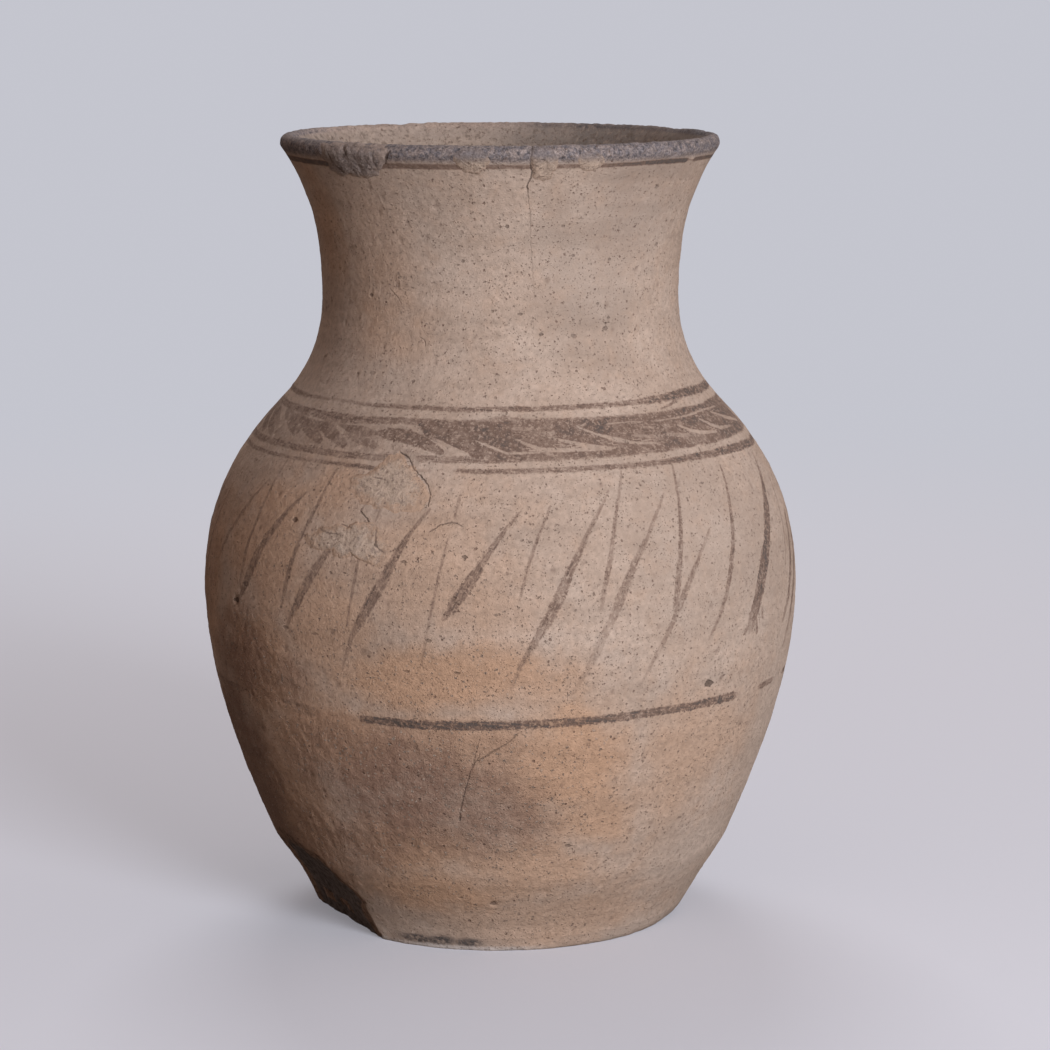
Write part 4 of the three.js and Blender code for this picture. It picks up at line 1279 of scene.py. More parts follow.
def make_crust(name, node, thickness, folding, outline, material):
    """A lime crust: rings that shrink to its middle, raised off the skin as a lumpy dome whose edge dips
    under the skin, closed by a smooth face inside the wall."""
    shape = bpy.context.scene.pot_outline
    stations = pot_stations(shape)
    middle_azimuth, middle_height, spokes, edge = crust_outline(outline, stations, shape)
    share = np.linspace(0, 1, CRUST_RINGS + 1)[1:, None]
    height = middle_height + share * edge * np.sin(spokes)
    height = np.minimum(height, in_mm(shape.height) - CRUST_TOP_GAP)
    radius, slope = skin_at(stations, shape, height)
    azimuth = middle_azimuth + share * edge * np.cos(spokes) / skin_at(stations, shape, middle_height)[0]
    out = 1 / np.hypot(1, slope)
    normals = np.stack([out * np.sin(azimuth), -out * np.cos(azimuth), -slope * out], axis=-1)
    base = np.stack([radius * np.sin(azimuth), -radius * np.cos(azimuth), height], axis=-1)

    lumps, pores = crust_lumps(base, folding)
    cracks = crust_cracks(azimuth, height, radius, slope)
    dip = 0.5 * CRUST_SINK * ease(share, 0.66, 1.0) * (1 + 0.8 * soft_noise(base, 2.6, 115))
    outer = (thickness * (0.5 + 0.5 * lumps) - 0.25 * pores) * (1 - share**2.5) - dip
    outer += small_relief(base)[0] - crack_gape(cracks)
    top = base + outer[..., None] * normals
    underside = base - 1.5 * CRUST_SINK * normals
    points = np.concatenate([
        top.reshape(-1, 3), underside[:-1].reshape(-1, 3),
        top[0].mean(axis=0, keepdims=True), underside[0].mean(axis=0, keepdims=True),
    ])

    fields = {"wear": np.stack([pores, lumps, share * np.ones(CRUST_SPOKES)], axis=-1), "cracks": cracks}
    hidden = np.zeros((len(points) - lumps.size, 3))
    fields = {label: np.concatenate([values, hidden]) for label, values in flattened(fields).items()}
    thing = write_mesh(name, points, crust_faces(*lumps.shape), fields)
    return dress(thing, node, material)


class Bench:
    """Places shader nodes in a tree and joins them."""

    def __init__(self, tree):
        self.tree = tree

    def add(self, kind, feeds=(), **settings):
        """A node with these settings. feeds gives its inputs by name or number: a socket or a value."""
        node = self.tree.nodes.new(kind)
        for label, value in settings.items():
            setattr(node, label, value)
        for key, value in dict(feeds).items():
            if isinstance(value, bpy.types.NodeSocket):
                self.tree.links.new(value, node.inputs[key])
            else:
                node.inputs[key].default_value = value
        return node

    def math(self, operation, first, second=0.0, third=0.0, clamp=False):
        """Sums on up to three sockets or numbers."""
        feeds = {0: first, 1: second, 2: third}
        return self.add("ShaderNodeMath", feeds, operation=operation, use_clamp=clamp).outputs[0]

    def times(self, first, second, clamp=False):
        return self.math("MULTIPLY", first, second, clamp=clamp)

    def scaled(self, value, factor, added, clamp=False):
        """The value times a factor, and something added."""
        return self.math("MULTIPLY_ADD", value, factor, added, clamp)

    def centred(self, point, scale, detail, roughness=0.6):
        """Noise about 0 instead of about a half."""
        return self.math("SUBTRACT", self.noise(point, scale, detail, roughness), 0.5)

    def vector(self, operation, first, second):
        feeds = {0: first, 1: second}
        return self.add("ShaderNodeVectorMath", feeds, operation=operation).outputs[0]

    def step(self, value, low, high, bottom=0.0, top=1.0):
        """Rises smoothly from bottom to top as the value goes from low to high."""
        feeds = {"Value": value, "From Min": low, "From Max": high, "To Min": bottom, "To Max": top}
        return self.add("ShaderNodeMapRange", feeds, interpolation_type="SMOOTHSTEP").outputs["Result"]

    def noise(self, point, scale, detail=2.0, roughness=0.5):
        """Noise from 0 to 1, whose scale is in bumps to the millimetre."""
        feeds = {"Vector": point, "Scale": scale, "Detail": detail, "Roughness": roughness}
        return self.add("ShaderNodeTexNoise", feeds).outputs[0]

    def cells(self, point, scale):
        """Distance to the nearest seed of a cell pattern, and the seed's own colour."""
        node = self.add("ShaderNodeTexVoronoi", {"Vector": point, "Scale": scale})
        return node.outputs["Distance"], node.outputs["Color"]

    def part(self, vector):
        """The three numbers of a vector."""
        return self.add("ShaderNodeSeparateXYZ", {0: vector}).outputs

    def blend(self, factor, first, second, kind="MIX"):
        """Two colours mixed, or joined as the kind says. Each is a socket or three numbers."""
        node = self.add("ShaderNodeMix", {0: factor}, data_type="RGBA", blend_type=kind)
        ends = [socket for socket in node.inputs if socket.type == "RGBA"]
        for socket, value in zip(ends, (first, second)):
            if isinstance(value, bpy.types.NodeSocket):
                self.tree.links.new(value, socket)
            else:
                socket.default_value = opaque(value)
        return next(socket for socket in node.outputs if socket.type == "RGBA")

    def shade(self, colour, amount):
        """The colour times a grey amount."""
        grey = self.add("ShaderNodeCombineXYZ", {0: amount, 1: amount, 2: amount}).outputs[0]
        return self.blend(1.0, colour, grey, "MULTIPLY")

    def field(self, name, output="Vector"):
        """What the mesh holds at each of its points under that name."""
        return self.add("ShaderNodeAttribute", attribute_name=name).outputs[output]


def opaque(colour):
    """The colour with a full alpha."""
    return (colour[0], colour[1], colour[2], 1.0)


def effect(name, inputs, outputs, build):
    """A shader node group, made once. inputs gives each number's default, or None for a vector, and
    outputs names the numbers it gives. build gets a bench and the inputs, and returns the outputs."""
    if name in bpy.data.node_groups:
        return bpy.data.node_groups[name]
    group = bpy.data.node_groups.new(name, "ShaderNodeTree")
    for label, default in inputs.items():
        kind = "NodeSocketVector" if default is None else "NodeSocketFloat"
        socket = group.interface.new_socket(label, in_out="INPUT", socket_type=kind)
        if default is not None:
            socket.default_value = default
    for label in outputs:
        group.interface.new_socket(label, in_out="OUTPUT", socket_type="NodeSocketFloat")
    bench = Bench(group)
    entry = bench.add("NodeGroupInput")
    result = build(bench, entry.outputs)
    bench.add("NodeGroupOutput", result, is_active_output=True)
    return group


def grit_effect():
    """Grit of the fired clay: a mottled tone, pale grains, dark specks in loose clusters, and a height.
    The cells that the grains sit in are bent by noise, so that no grain is round."""
    def build(bench, given):
        point = given["Point"]
        bend = bench.add("ShaderNodeTexNoise", {"Vector": point, "Scale": 1.1, "Detail": 2.0})
        bend = bench.vector("SUBTRACT", bend.outputs["Color"], (0.5, 0.5, 0.5))
        bent = bench.vector("ADD", point, bench.vector("MULTIPLY", bend, (1.3, 1.3, 1.0)))
        tone = bench.noise(point, 0.5, 4.0, 0.6)
        cluster = bench.noise(point, 0.09, 3.0, 0.6)

        distance, colour = bench.cells(bent, 0.75)
        pick = bench.part(colour)
        grain = bench.math("SUBTRACT", bench.scaled(pick[0], 0.3, 0.08), distance)
        pale = bench.times(bench.step(grain, -0.08, 0.06), bench.step(pick[1], 0.25, 0.8))

        dark = 0.0
        for scale, low, high, share in SPECKS:
            distance, colour = bench.cells(bent, scale)
            pick = bench.part(colour)
            size = bench.scaled(pick[0], high - low, low)
            speck = bench.step(bench.math("SUBTRACT", size, distance), -0.06, 0.06)
            chance = bench.math("SUBTRACT", pick[1], share + 0.45)
            chance = bench.scaled(cluster, 0.9, chance)
            dark = bench.math("MAXIMUM", bench.times(speck, bench.step(chance, 0.2, 0.55)), dark)

        height = bench.scaled(bench.noise(point, 1.6, 4.0, 0.65), 0.28, bench.times(tone, 0.25))
        height = bench.scaled(pale, 0.16, height)
        height = bench.scaled(dark, -0.25, height)
        return {"Tone": tone, "Pale": pale, "Dark": dark, "Height": height}

    return effect("Clay grit", {"Point": None}, ("Tone", "Pale", "Dark", "Height"), build)


def wheel_effect():
    """Level streaks left by the wheel and the rib: noise squeezed flat along the pot's height."""
    def build(bench, given):
        squeezed = bench.vector("MULTIPLY", given["Point"], (0.12, 0.12, 1.0))
        broad = bench.noise(squeezed, 0.1, 3.0, 0.5)
        narrow = bench.noise(squeezed, 0.35, 2.0, 0.5)
        tone = bench.scaled(broad, 0.65, bench.times(narrow, 0.35))
        return {"Tone": tone, "Height": bench.times(narrow, 0.2)}

    return effect("Wheel marks", {"Point": None}, ("Tone", "Height"), build)


def wear_out(bench, depth, ink, point, raggedness, wear):
    """How thickly paint lies, from the depth inside its edge: the edge is ragged, the body is blotched,
    and pale flecks show where it has rubbed off, all by the amount of wear. Over about 1 the paint hides
    the clay and turns darker."""
    ragged = bench.scaled(bench.centred(point, 0.6, 3.0), 1.5, bench.centred(point, 1.8, 2.0))
    edge = bench.step(bench.scaled(ragged, raggedness, depth), -0.35, 0.38)
    blotch = bench.step(bench.noise(point, 0.3, 3.0, 0.6), 0.32, 0.64, 0.7, 1.12)
    fleck = bench.step(bench.noise(point, 0.85, 4.0, 0.75), 0.5, 0.62, 1.05, 0.32)
    lost = bench.math("SUBTRACT", bench.times(blotch, fleck), 1.0)
    return bench.times(edge, bench.times(bench.scaled(lost, wear, 1.0), ink))


def paint_effect():
    """Worn slip on a brush mark, whose depth is its half width less the distance across it. Streaks run
    along it, since their noise changes fast across the mark and slowly with the place on the pot."""
    def build(bench, given):
        mark = bench.part(given["Mark"])
        depth = bench.math("SUBTRACT", mark[1], bench.math("ABSOLUTE", mark[0]))
        raggedness = bench.times(bench.step(mark[1], 0.3, 1.8, 0.5, 1.15), given["Wear"])
        worn = wear_out(bench, depth, mark[2], given["Point"], raggedness, given["Wear"])
        slow = bench.vector("MULTIPLY", given["Point"], (0.12, 0.12, 0.12))
        across = bench.add("ShaderNodeCombineXYZ", {0: mark[0]}).outputs[0]
        lane = bench.noise(bench.vector("ADD", slow, across), 1.5, 3.0, 0.65)
        streak = bench.step(lane, 0.36, 0.6, 0.12, -0.3)
        worn = bench.times(worn, bench.scaled(streak, given["Wear"], 1.0))
        return {"Mask": bench.times(worn, bench.step(mark[1], 0.03, 0.25))}

    return effect("Worn brush mark", {"Mark": None, "Point": None, "Wear": 1.0}, ("Mask",), build)


def frieze_effect():
    """Worn slip in the frieze: the solid shapes over a thin wash, less the slashes left bare."""
    def build(bench, given):
        point = given["Point"]
        depth, wash, ink = bench.part(given["Frieze"])[:3]
        solid = wear_out(bench, depth, ink, point, 0.85, 0.95)
        wash = bench.times(wash, bench.step(bench.noise(point, 0.3, 4.0, 0.7), 0.3, 0.7))
        covered = bench.math("MAXIMUM", solid, bench.times(wash, 0.55))
        slash = bench.part(given["Slash"])
        inside = bench.math("SUBTRACT", slash[1], bench.math("ABSOLUTE", slash[0]))
        ragged = bench.scaled(bench.centred(point, 1.2, 3.0), 0.8, inside)
        bare = bench.times(bench.step(ragged, -0.25, 0.3, 0.0, 0.85), slash[2])
        bare = bench.times(bare, bench.step(slash[1], 0.03, 0.2))
        return {"Mask": bench.times(covered, bench.math("SUBTRACT", 1.0, bare))}

    return effect("Worn frieze", {"Frieze": None, "Slash": None, "Point": None}, ("Mask",), build)


def crack_effect():
    """A hairline crack: dark where the wandering distance across it is under its half width."""
    def build(bench, given):
        mark = bench.part(given["Mark"])
        wander = bench.scaled(bench.centred(given["Point"], 0.55, 4.0), 1.5, mark[0])
        inside = bench.math("SUBTRACT", mark[1], bench.math("ABSOLUTE", wander))
        mask = bench.times(bench.step(inside, -0.3, 0.12), bench.step(mark[1], 0.02, 0.08))
        return {"Mask": bench.times(mask, mark[2], clamp=True)}

    return effect("Hairline crack", {"Mark": None, "Point": None}, ("Mask",), build)


def place_effect(bench, group, point, **feeds):
    """The outputs of an effect that is placed at a point of the pot and fed with these values."""
    return bench.add("ShaderNodeGroup", {"Point": point, **feeds}, node_tree=group).outputs


def new_material(name):
    """An empty material, and a bench for its nodes."""
    material = bpy.data.materials.new(name)
    material.use_nodes = True
    material.node_tree.nodes.clear()
    return material, Bench(material.node_tree)


def finish_material(bench, colour, roughness, height, specular):
    """The shader itself: a matt surface with a bump height in millimetres."""
    bump = bench.add("ShaderNodeBump", {"Height": height, "Distance": METRES, "Strength": 1.0})
    shader = bench.add("ShaderNodeBsdfPrincipled", {
        "Base Color": colour, "Roughness": roughness, "Normal": bump.outputs[0]})
    shader.inputs["Specular IOR Level"].default_value = specular
    output = bench.add("ShaderNodeOutputMaterial")
    bench.tree.links.new(shader.outputs[0], output.inputs[0])


def point_in_mm(bench):
    """The place on the pot in millimetres, which every pattern is laid out in."""
    coordinates = bench.add("ShaderNodeTexCoord").outputs["Object"]
    scaled = bench.add("ShaderNodeVectorMath", {0: coordinates}, operation="SCALE")
    scaled.inputs["Scale"].default_value = 1 / METRES
    return scaled.outputs[0]


def fired_colour(bench, mottle, patch, cloud, pale_grains):
    """The clay's colour: mottled buff and pale clay under blushes, pale clouds and smoky clouds, the
    smoky ones thinner on pale grains. Some pale clouds are in part painted light, and some smoky ones are
    in part painted shade."""
    finish = bpy.context.scene.pot_finish
    bleached = bench.step(mottle, 0.35, 0.7, 0.12, 0.72)
    colour = bench.blend(bleached, finish.buff, finish.pale)
    warmed = bench.times(bench.step(patch, 0.45, 0.75), 0.18)
    colour = bench.blend(warmed, colour, finish.blush)
    colour = bench.blend(cloud[BLUSH], colour, finish.blush)
    # Pale clouds: pale clay, and in part painted light on the shoulder's left and on the right side.
    colour = bench.blend(bench.times(cloud[PALE], 0.85), colour, finish.pale)
    # Smoky clouds: fire clouding, and in part painted shade on the left side.
    smoke_and_shade = bench.times(cloud[SMOKE_AND_SHADE], bench.scaled(pale_grains, -0.55, 1.0))
    smoke_and_shade = bench.times(smoke_and_shade, bench.step(patch, 0.28, 0.66, 0.7, 1.1), clamp=True)
    return bench.blend(smoke_and_shade, colour, finish.smoke_and_shade)


def dust_foot(bench, colour, point, pale_cloud):
    """Pale dust in a ragged line along the foot's edge."""
    ragged = bench.scaled(bench.noise(point, 0.7, 3.0, 0.6), 2.4, bench.part(point)[2])
    dust = bench.times(bench.step(ragged, 2.2, 3.5, 0.9, 0.0), pale_cloud)
    return bench.blend(dust, colour, FOOT_DUST)


def stain_lip(bench, colour, point, inside, strength):
    """The grey stain on the lip: ragged below, weaker inside and at the back, with pale flecks in it and
    dark sunk spots."""
    blot = bench.noise(point, 0.5, 5.0, 0.7)
    ragged = bench.scaled(blot, 4.0, bench.part(point)[2])
    stain = bench.times(bench.step(ragged, *STAIN_HEIGHTS), bench.scaled(inside, -0.6, 1.0))
    stain = bench.times(stain, bench.step(bench.part(point)[1], 15.0, 60.0, 1.0, 0.35))
    stain = bench.times(stain, bench.step(blot, 0.38, 0.6, 1.0, 0.7))
    stain = bench.times(stain, strength, clamp=True)
    colour = bench.blend(stain, colour, bpy.context.scene.pot_finish.lip)
    flecks = bench.step(bench.noise(point, 1.3, 4.0, 0.8), 0.4, 0.62, 0.58, 1.65)
    colour = bench.shade(colour, bench.blend(stain, WHITE, flecks))
    sunk = bench.step(bench.noise(point, 0.62, 3.0, 0.65), 0.37, 0.44, 0.7, 0.0)
    return bench.blend(bench.times(sunk, stain), colour, LIP_PIT)


def slip_cover(bench, point, ring_wear, all_marks):
    """How thickly slip lies from the rings and, with all the marks, from the strokes and the frieze."""
    cover = place_effect(bench, paint_effect(), point, Mark=bench.field("rings"), Wear=ring_wear)["Mask"]
    if all_marks:
        for label in ("other_rings", "broad_brush", "fine_brush"):
            mark = place_effect(bench, paint_effect(), point, Mark=bench.field(label))["Mask"]
            cover = bench.math("MAXIMUM", cover, mark)
        frieze = place_effect(
            bench, frieze_effect(), point, Frieze=bench.field("frieze"), Slash=bench.field("slashes"))
        cover = bench.math("MAXIMUM", cover, frieze["Mask"])
    return cover


def clay_material(name, scuffing=0.0, lip_stain=0.0, painted=False):
    """Fired clay under stains, worn painting, cracks and pits. scuffing greys the surface, lip_stain is
    how strongly the stained lip's colour covers it, and painted adds the strokes and the frieze."""
    finish = bpy.context.scene.pot_finish
    material, bench = new_material(name)
    point = point_in_mm(bench)
    grit = place_effect(bench, grit_effect(), point)
    wheel = place_effect(bench, wheel_effect(), point)
    pit, broken, inside = bench.part(bench.field("wear"))[:3]
    cloud = bench.add("ShaderNodeSeparateColor", {0: bench.field("clouds", "Color")}).outputs
    mottle = bench.noise(point, 0.045, 4.0, 0.6)
    patch = bench.noise(point, 0.16, 4.0, 0.65)

    colour = fired_colour(bench, mottle, patch, cloud, grit["Pale"])
    # Dark grey over the surface: the foot's scuffs and grey clay, and painted shade on the left side,
    # under the foot's right edge and inside the mouth.
    scuffs_and_shade = bench.scaled(bench.step(mottle, 0.4, 0.6), scuffing, bench.field("clouds", "Alpha"))
    scuffs_and_shade = bench.times(scuffs_and_shade, bench.step(grit["Tone"], 0.26, 0.56), clamp=True)
    colour = bench.blend(scuffs_and_shade, colour, finish.soot_and_shade)
    if scuffing:
        colour = dust_foot(bench, colour, point, cloud[PALE])
    if lip_stain:
        colour = stain_lip(bench, colour, point, inside, lip_stain)
    colour = bench.blend(bench.times(inside, 0.5), colour, INSIDE_CLAY)
    grimy = bench.step(bench.noise(point, 0.42, 5.0, 0.75), 0.51, 0.62, 0.0, 0.6)
    colour = bench.blend(bench.times(grimy, inside), colour, INSIDE_GRIME)
    colour = bench.shade(colour, bench.step(wheel["Tone"], 0.3, 0.7, 0.92, 1.07))
    colour = bench.shade(colour, bench.step(grit["Tone"], 0.25, 0.75, 0.86, 1.12))
    rough = bench.scaled(cloud[BLUSH], 0.5, cloud[SMOKE_AND_SHADE], clamp=True)
    grains = bench.times(grit["Pale"], bench.scaled(rough, 0.84, 0.16))
    colour = bench.blend(grains, colour, PALE_GRAIN)

    cover = slip_cover(bench, point, LIP_RING_WEAR if lip_stain else 1.0, painted)
    cover = bench.times(cover, bench.scaled(grit["Pale"], -0.35, 1.0))
    slip = bench.blend(bench.step(cover, 0.96, 1.4), finish.paint, finish.thick_paint)
    cover = bench.math("MINIMUM", cover, 0.97)
    colour = bench.blend(cover, colour, slip)

    speckle = bench.times(grit["Dark"], bench.scaled(cloud[PALE], -0.3, 0.72))
    colour = bench.blend(speckle, colour, DARK_GRAIN)
    # Pits in brown: in part for dark grit in them, and in part as painted shade in their hollows.
    colour = bench.blend(bench.times(pit, 0.45), colour, PIT_BROWN_AND_SHADE)
    # The broken face: brown at its edge and grey in its core, darkened in part as painted shade, since it
    # faces away from the key lamp.
    facet = bench.blend(bench.step(bench.scaled(patch, 0.5, broken), 0.8, 1.0), BREAK_EDGE_SHADED, BREAK_CORE_SHADED)
    facet = bench.shade(facet, bench.step(bench.noise(point, 0.35, 4.0, 0.7), 0.36, 0.64, 0.5, 1.5))
    broken = bench.step(broken, 0.0, 0.5)
    colour = bench.blend(bench.times(broken, 0.85), colour, facet)
    crack = place_effect(bench, crack_effect(), point, Mark=bench.field("cracks"))["Mask"]
    colour = bench.blend(bench.times(crack, 0.8), colour, CRACK_BROWN)

    height = bench.times(grit["Height"], bench.scaled(rough, 1.2, 0.9))
    height = bench.math("ADD", height, wheel["Height"])
    height = bench.scaled(crack, -0.4, height)
    height = bench.scaled(bench.times(broken, bench.noise(point, 0.8, 5.0, 0.7)), 1.2, height)
    finish_material(bench, colour, bench.step(cover, 0.0, 1.0, 0.93, 0.84), height, 0.25)
    return material


def lime_material():
    """Lime crust: crumbly, mottled pale and grey, greyer on the lip, and near the clay's colour at its
    edge, where the third of its wear values reaches 1. The first is the depth in a pore, the second the
    lumps. At the left the lip's grey comes down further and thinner. The lumps' crests are painted
    lighter and their hollows darker, as painted light and shade."""
    finish = bpy.context.scene.pot_finish
    material, bench = new_material("crumbly_lime")
    point = point_in_mm(bench)
    grit = place_effect(bench, grit_effect(), point)
    pore, lump, near_edge = bench.part(bench.field("wear"))[:3]
    patch = bench.noise(point, 0.3, 4.0, 0.65)
    fine = bench.noise(point, 0.75, 4.0, 0.65)
    mottle = bench.step(bench.scaled(patch, 0.5, fine), 0.52, 0.76)
    colour = bench.blend(mottle, GREY_LIME, finish.lime)
    # Painted highlight: the lumps' raised crests are lighter.
    colour = bench.blend(bench.step(lump, 0.2, 0.7, 0.0, 0.5), colour, LIME_CREST_HIGHLIGHT)

    sideways, _, height_here = bench.part(point)[:3]
    lowered = bench.step(sideways, *LEFT_LIME, 8.0, 0.0)
    on_lip = bench.math("ADD", bench.scaled(fine, 5.0, height_here), lowered)
    on_lip = bench.step(on_lip, 295.0, 299.5, 0.0, 0.8)
    on_lip = bench.times(on_lip, bench.step(sideways, *LEFT_LIME, 0.76, 1.0))
    colour = bench.blend(on_lip, colour, finish.lip)
    flecks = bench.step(bench.noise(point, 1.3, 4.0, 0.8), 0.4, 0.62, 0.8, 1.45)
    colour = bench.shade(colour, bench.blend(on_lip, WHITE, flecks))
    # Painted shade: the hollows between the lumps are darker.
    colour = bench.blend(bench.step(lump, -0.6, -0.2, 0.5, 0.0), colour, LIME_HOLLOW_SHADE)

    fringe = bench.scaled(patch, 0.9, bench.scaled(fine, 0.7, near_edge))
    off_lip = bench.math("SUBTRACT", 0.9, on_lip)
    fringe = bench.times(bench.step(fringe, 1.25, 1.65), off_lip, clamp=True)
    warmth = bench.step(height_here, 190.0, 280.0, 0.55, 0.1)
    clay = bench.blend(warmth, finish.buff, finish.blush)
    colour = bench.blend(fringe, colour, clay)
    colour = bench.blend(bench.times(pore, 0.45), colour, LIME_PORE)
    colour = bench.shade(colour, bench.step(grit["Tone"], 0.25, 0.75, 0.86, 1.12))
    colour = bench.blend(bench.times(grit["Dark"], 0.6), colour, LIME_GRAIN)
    crack = place_effect(bench, crack_effect(), point, Mark=bench.field("cracks"))["Mask"]
    colour = bench.blend(bench.times(crack, 0.8), colour, LIME_CRACK)
    height = bench.scaled(bench.noise(point, 1.1, 4.0, 0.7), 0.5, grit["Height"])
    finish_material(bench, colour, 0.95, height, 0.2)
    return material


class ThrowCourses(bpy.types.Operator):
    """Throw the pot's walls: lower wall, belly, shoulder and neck, each lapped on the one below"""

    bl_idname = "clay_pot.throw_courses"
    bl_label = "Throw the courses"

    def execute(self, context):
        stations = pot_stations(context.scene.pot_outline)
        seams = seam_heights()
        clay = clay_material("painted_clay", painted=True)
        for name, node, above, outer_step, inner_step in (
            ("lower_wall", "lower_body", "belly", OUTER_STEP, INNER_STEP),
            ("belly_wall", "belly", "shoulder", OUTER_STEP, INNER_STEP),
            ("shoulder_wall", "shoulder", "neck", SHOULDER_STEP, INNER_STEP / 2),
            ("neck_wall", "neck", "rim", NECK_STEP, NECK_INNER_STEP),
        ):
            rows = course_rows(stations, seams[node], seams[above], outer_step, inner_step)
            make_wall(name, rows, node, clay, painted=True)
        return {"FINISHED"}


class CutFoot(bpy.types.Operator):
    """Make the foot slab that closes the pot, with its worn and broken edge"""

    bl_idname = "clay_pot.cut_foot"
    bl_label = "Cut the foot slab"

    def execute(self, context):
        make_slab()
        return {"FINISHED"}


class RollLip(bpy.types.Operator):
    """Roll the lip on the neck's top edge"""

    bl_idname = "clay_pot.roll_lip"
    bl_label = "Roll the lip"

    def execute(self, context):
        shape = context.scene.pot_outline
        rows = lip_rows(pot_stations(shape), shape, seam_heights()["rim"])
        clay = clay_material("stained_lip_clay", lip_stain=0.9)
        make_wall("lip", rows, "rim", clay, painted=False)
        return {"FINISHED"}


class GrowCrusts(bpy.types.Operator):
    """Grow the lime crusts on the shoulder and the lip"""

    bl_idname = "clay_pot.grow_crusts"
    bl_label = "Grow the crusts"

    def execute(self, context):
        lime = lime_material()
        for name, node, thickness, folding, outline in CRUSTS:
            make_crust(name, node, thickness, folding, outline, lime)
        return {"FINISHED"}


def floor_material(studio):
    """A plain pale floor to the camera, lit and shadowed near the pot and of one even colour far off. It
    throws less light back on the pot than it shows."""
    material, bench = new_material("studio_floor")
    lit = bench.add("ShaderNodeBsdfDiffuse", {"Color": opaque(studio.floor)})
    glow = bench.add("ShaderNodeEmission", {"Color": opaque(studio.floor), "Strength": FLOOR_GLOW})
    near = bench.add("ShaderNodeAddShader", {0: lit.outputs[0], 1: glow.outputs[0]})
    even = bench.add("ShaderNodeEmission", {"Color": opaque(studio.floor)})
    place = bench.add("ShaderNodeTexCoord").outputs["Object"]
    away = bench.add("ShaderNodeVectorMath", {0: place}, operation="LENGTH").outputs["Value"]
    seen = bench.add("ShaderNodeMixShader", {
        0: bench.step(away, FLOOR_EVEN_FROM, FLOOR_EVEN_TO), 1: near.outputs[0], 2: even.outputs[0]})
    thrown = bench.add("ShaderNodeBsdfDiffuse", {"Color": opaque(studio.floor_bounce)})
    path = bench.add("ShaderNodeLightPath")
    mix = bench.add("ShaderNodeMixShader", {
        0: path.outputs["Is Camera Ray"], 1: thrown.outputs[0], 2: seen.outputs[0]})
    output = bench.add("ShaderNodeOutputMaterial")
    bench.tree.links.new(mix.outputs[0], output.inputs[0])
    return material


def add_lamp(name, energy, side, place, target):
    """A square area lamp of that side, in metres, that faces its target."""
    light = bpy.data.lights.new(name, "AREA")
    light.energy = energy
    light.shape = "SQUARE"
    light.size = side
    lamp = bpy.data.objects.new(name, light)
    bpy.context.scene.collection.objects.link(lamp)
    direction = np.array(target) - np.array(place)
    flat = math.hypot(direction[0], direction[1])
    lamp.location = place
    lamp.rotation_euler = (math.atan2(flat, -direction[2]), 0, math.atan2(-direction[0], direction[1]))
    return lamp


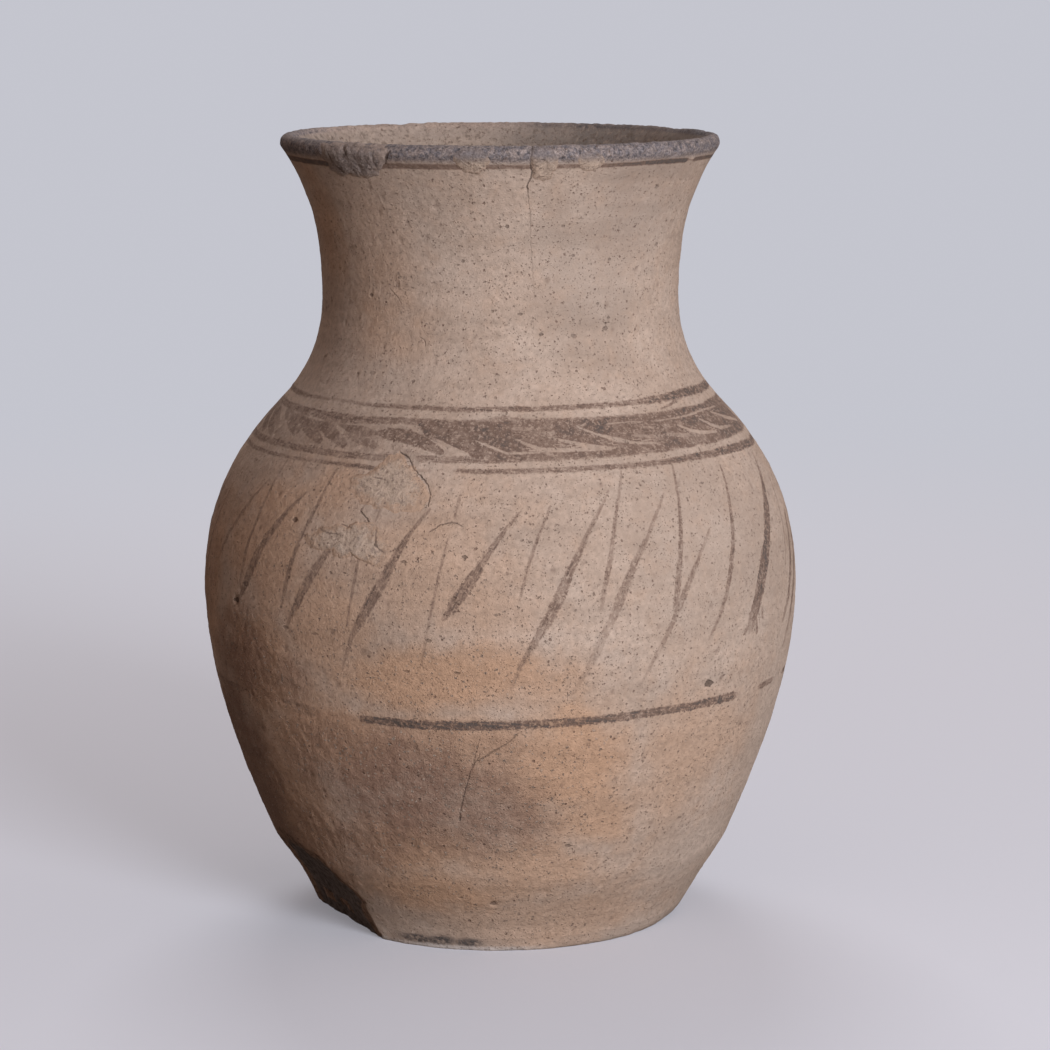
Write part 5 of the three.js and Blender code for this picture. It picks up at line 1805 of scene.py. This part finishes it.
class SetStage(bpy.types.Operator):
    """Set the floor, the lamps, the room's light and the camera"""

    bl_idname = "clay_pot.set_stage"
    bl_label = "Set the stage"

    def execute(self, context):
        studio = context.scene.pot_studio
        side = FLOOR_SIDE / 2
        mesh = bpy.data.meshes.new("floor")
        corners = [(-side, -side, 0), (side, -side, 0), (side, side, 0), (-side, side, 0)]
        mesh.from_pydata(corners, [], [(0, 1, 2, 3)])
        mesh.materials.append(floor_material(studio))
        floor = bpy.data.objects.new("floor", mesh)
        context.scene.collection.objects.link(floor)

        key = add_lamp("key_lamp", studio.key_energy, *KEY_LAMP)
        key.data.color = studio.key_colour
        add_lamp("back_lamp", studio.back_energy, *BACK_LAMP)
        add_lamp("side_lamp", studio.side_energy, *SIDE_LAMP)

        world = bpy.data.worlds.new("room")
        world.use_nodes = True
        world.node_tree.nodes.clear()
        bench = Bench(world.node_tree)
        seen = bench.add("ShaderNodeLightPath").outputs["Is Camera Ray"]
        colour = bench.blend(seen, studio.room_light, studio.floor)
        background = bench.add("ShaderNodeBackground", {"Color": colour})
        output = bench.add("ShaderNodeOutputWorld")
        bench.tree.links.new(background.outputs[0], output.inputs[0])
        context.scene.world = world

        data = bpy.data.cameras.new("camera")
        data.sensor_width = SENSOR_WIDTH
        data.lens = studio.lens
        camera = bpy.data.objects.new("camera", data)
        camera.location = (0, -studio.camera_distance, studio.camera_height)
        camera.rotation_euler = (math.pi / 2 - studio.camera_pitch, 0, -studio.camera_pan)
        context.scene.collection.objects.link(camera)
        context.scene.camera = camera
        context.scene.view_settings.view_transform = "Standard"
        return {"FINISHED"}


class PotPanel(bpy.types.Panel):
    """Lists the steps of making the pot"""

    bl_idname = "VIEW3D_PT_clay_pot"
    bl_label = "Clay Pot"
    bl_space_type = "VIEW_3D"
    bl_region_type = "UI"
    bl_category = "Clay Pot"

    def draw(self, context):
        for operator in OPERATORS:
            self.layout.operator(operator.bl_idname)
        for group in (context.scene.pot_outline, context.scene.pot_finish, context.scene.pot_studio):
            box = self.layout.box()
            for label in group.__annotations__:
                box.prop(group, label)


OPERATORS = (CutFoot, ThrowCourses, RollLip, GrowCrusts, SetStage)
CLASSES = (PotOutline, PotFinish, PotStudio, *OPERATORS, PotPanel)


def register():
    """Makes the classes known and gives the scene their properties."""
    for item in CLASSES:
        bpy.utils.register_class(item)
    bpy.types.Scene.pot_outline = PointerProperty(type=PotOutline)
    bpy.types.Scene.pot_finish = PointerProperty(type=PotFinish)
    bpy.types.Scene.pot_studio = PointerProperty(type=PotStudio)


def unregister():
    """Takes back what register did, in the other order."""
    del bpy.types.Scene.pot_studio
    del bpy.types.Scene.pot_finish
    del bpy.types.Scene.pot_outline
    for item in reversed(CLASSES):
        bpy.utils.unregister_class(item)


def main():
    """Makes the whole pot and its stage."""
    register()
    bpy.ops.clay_pot.cut_foot()
    bpy.ops.clay_pot.throw_courses()
    bpy.ops.clay_pot.roll_lip()
    bpy.ops.clay_pot.grow_crusts()
    bpy.ops.clay_pot.set_stage()


if __name__ == "__main__":
    main()
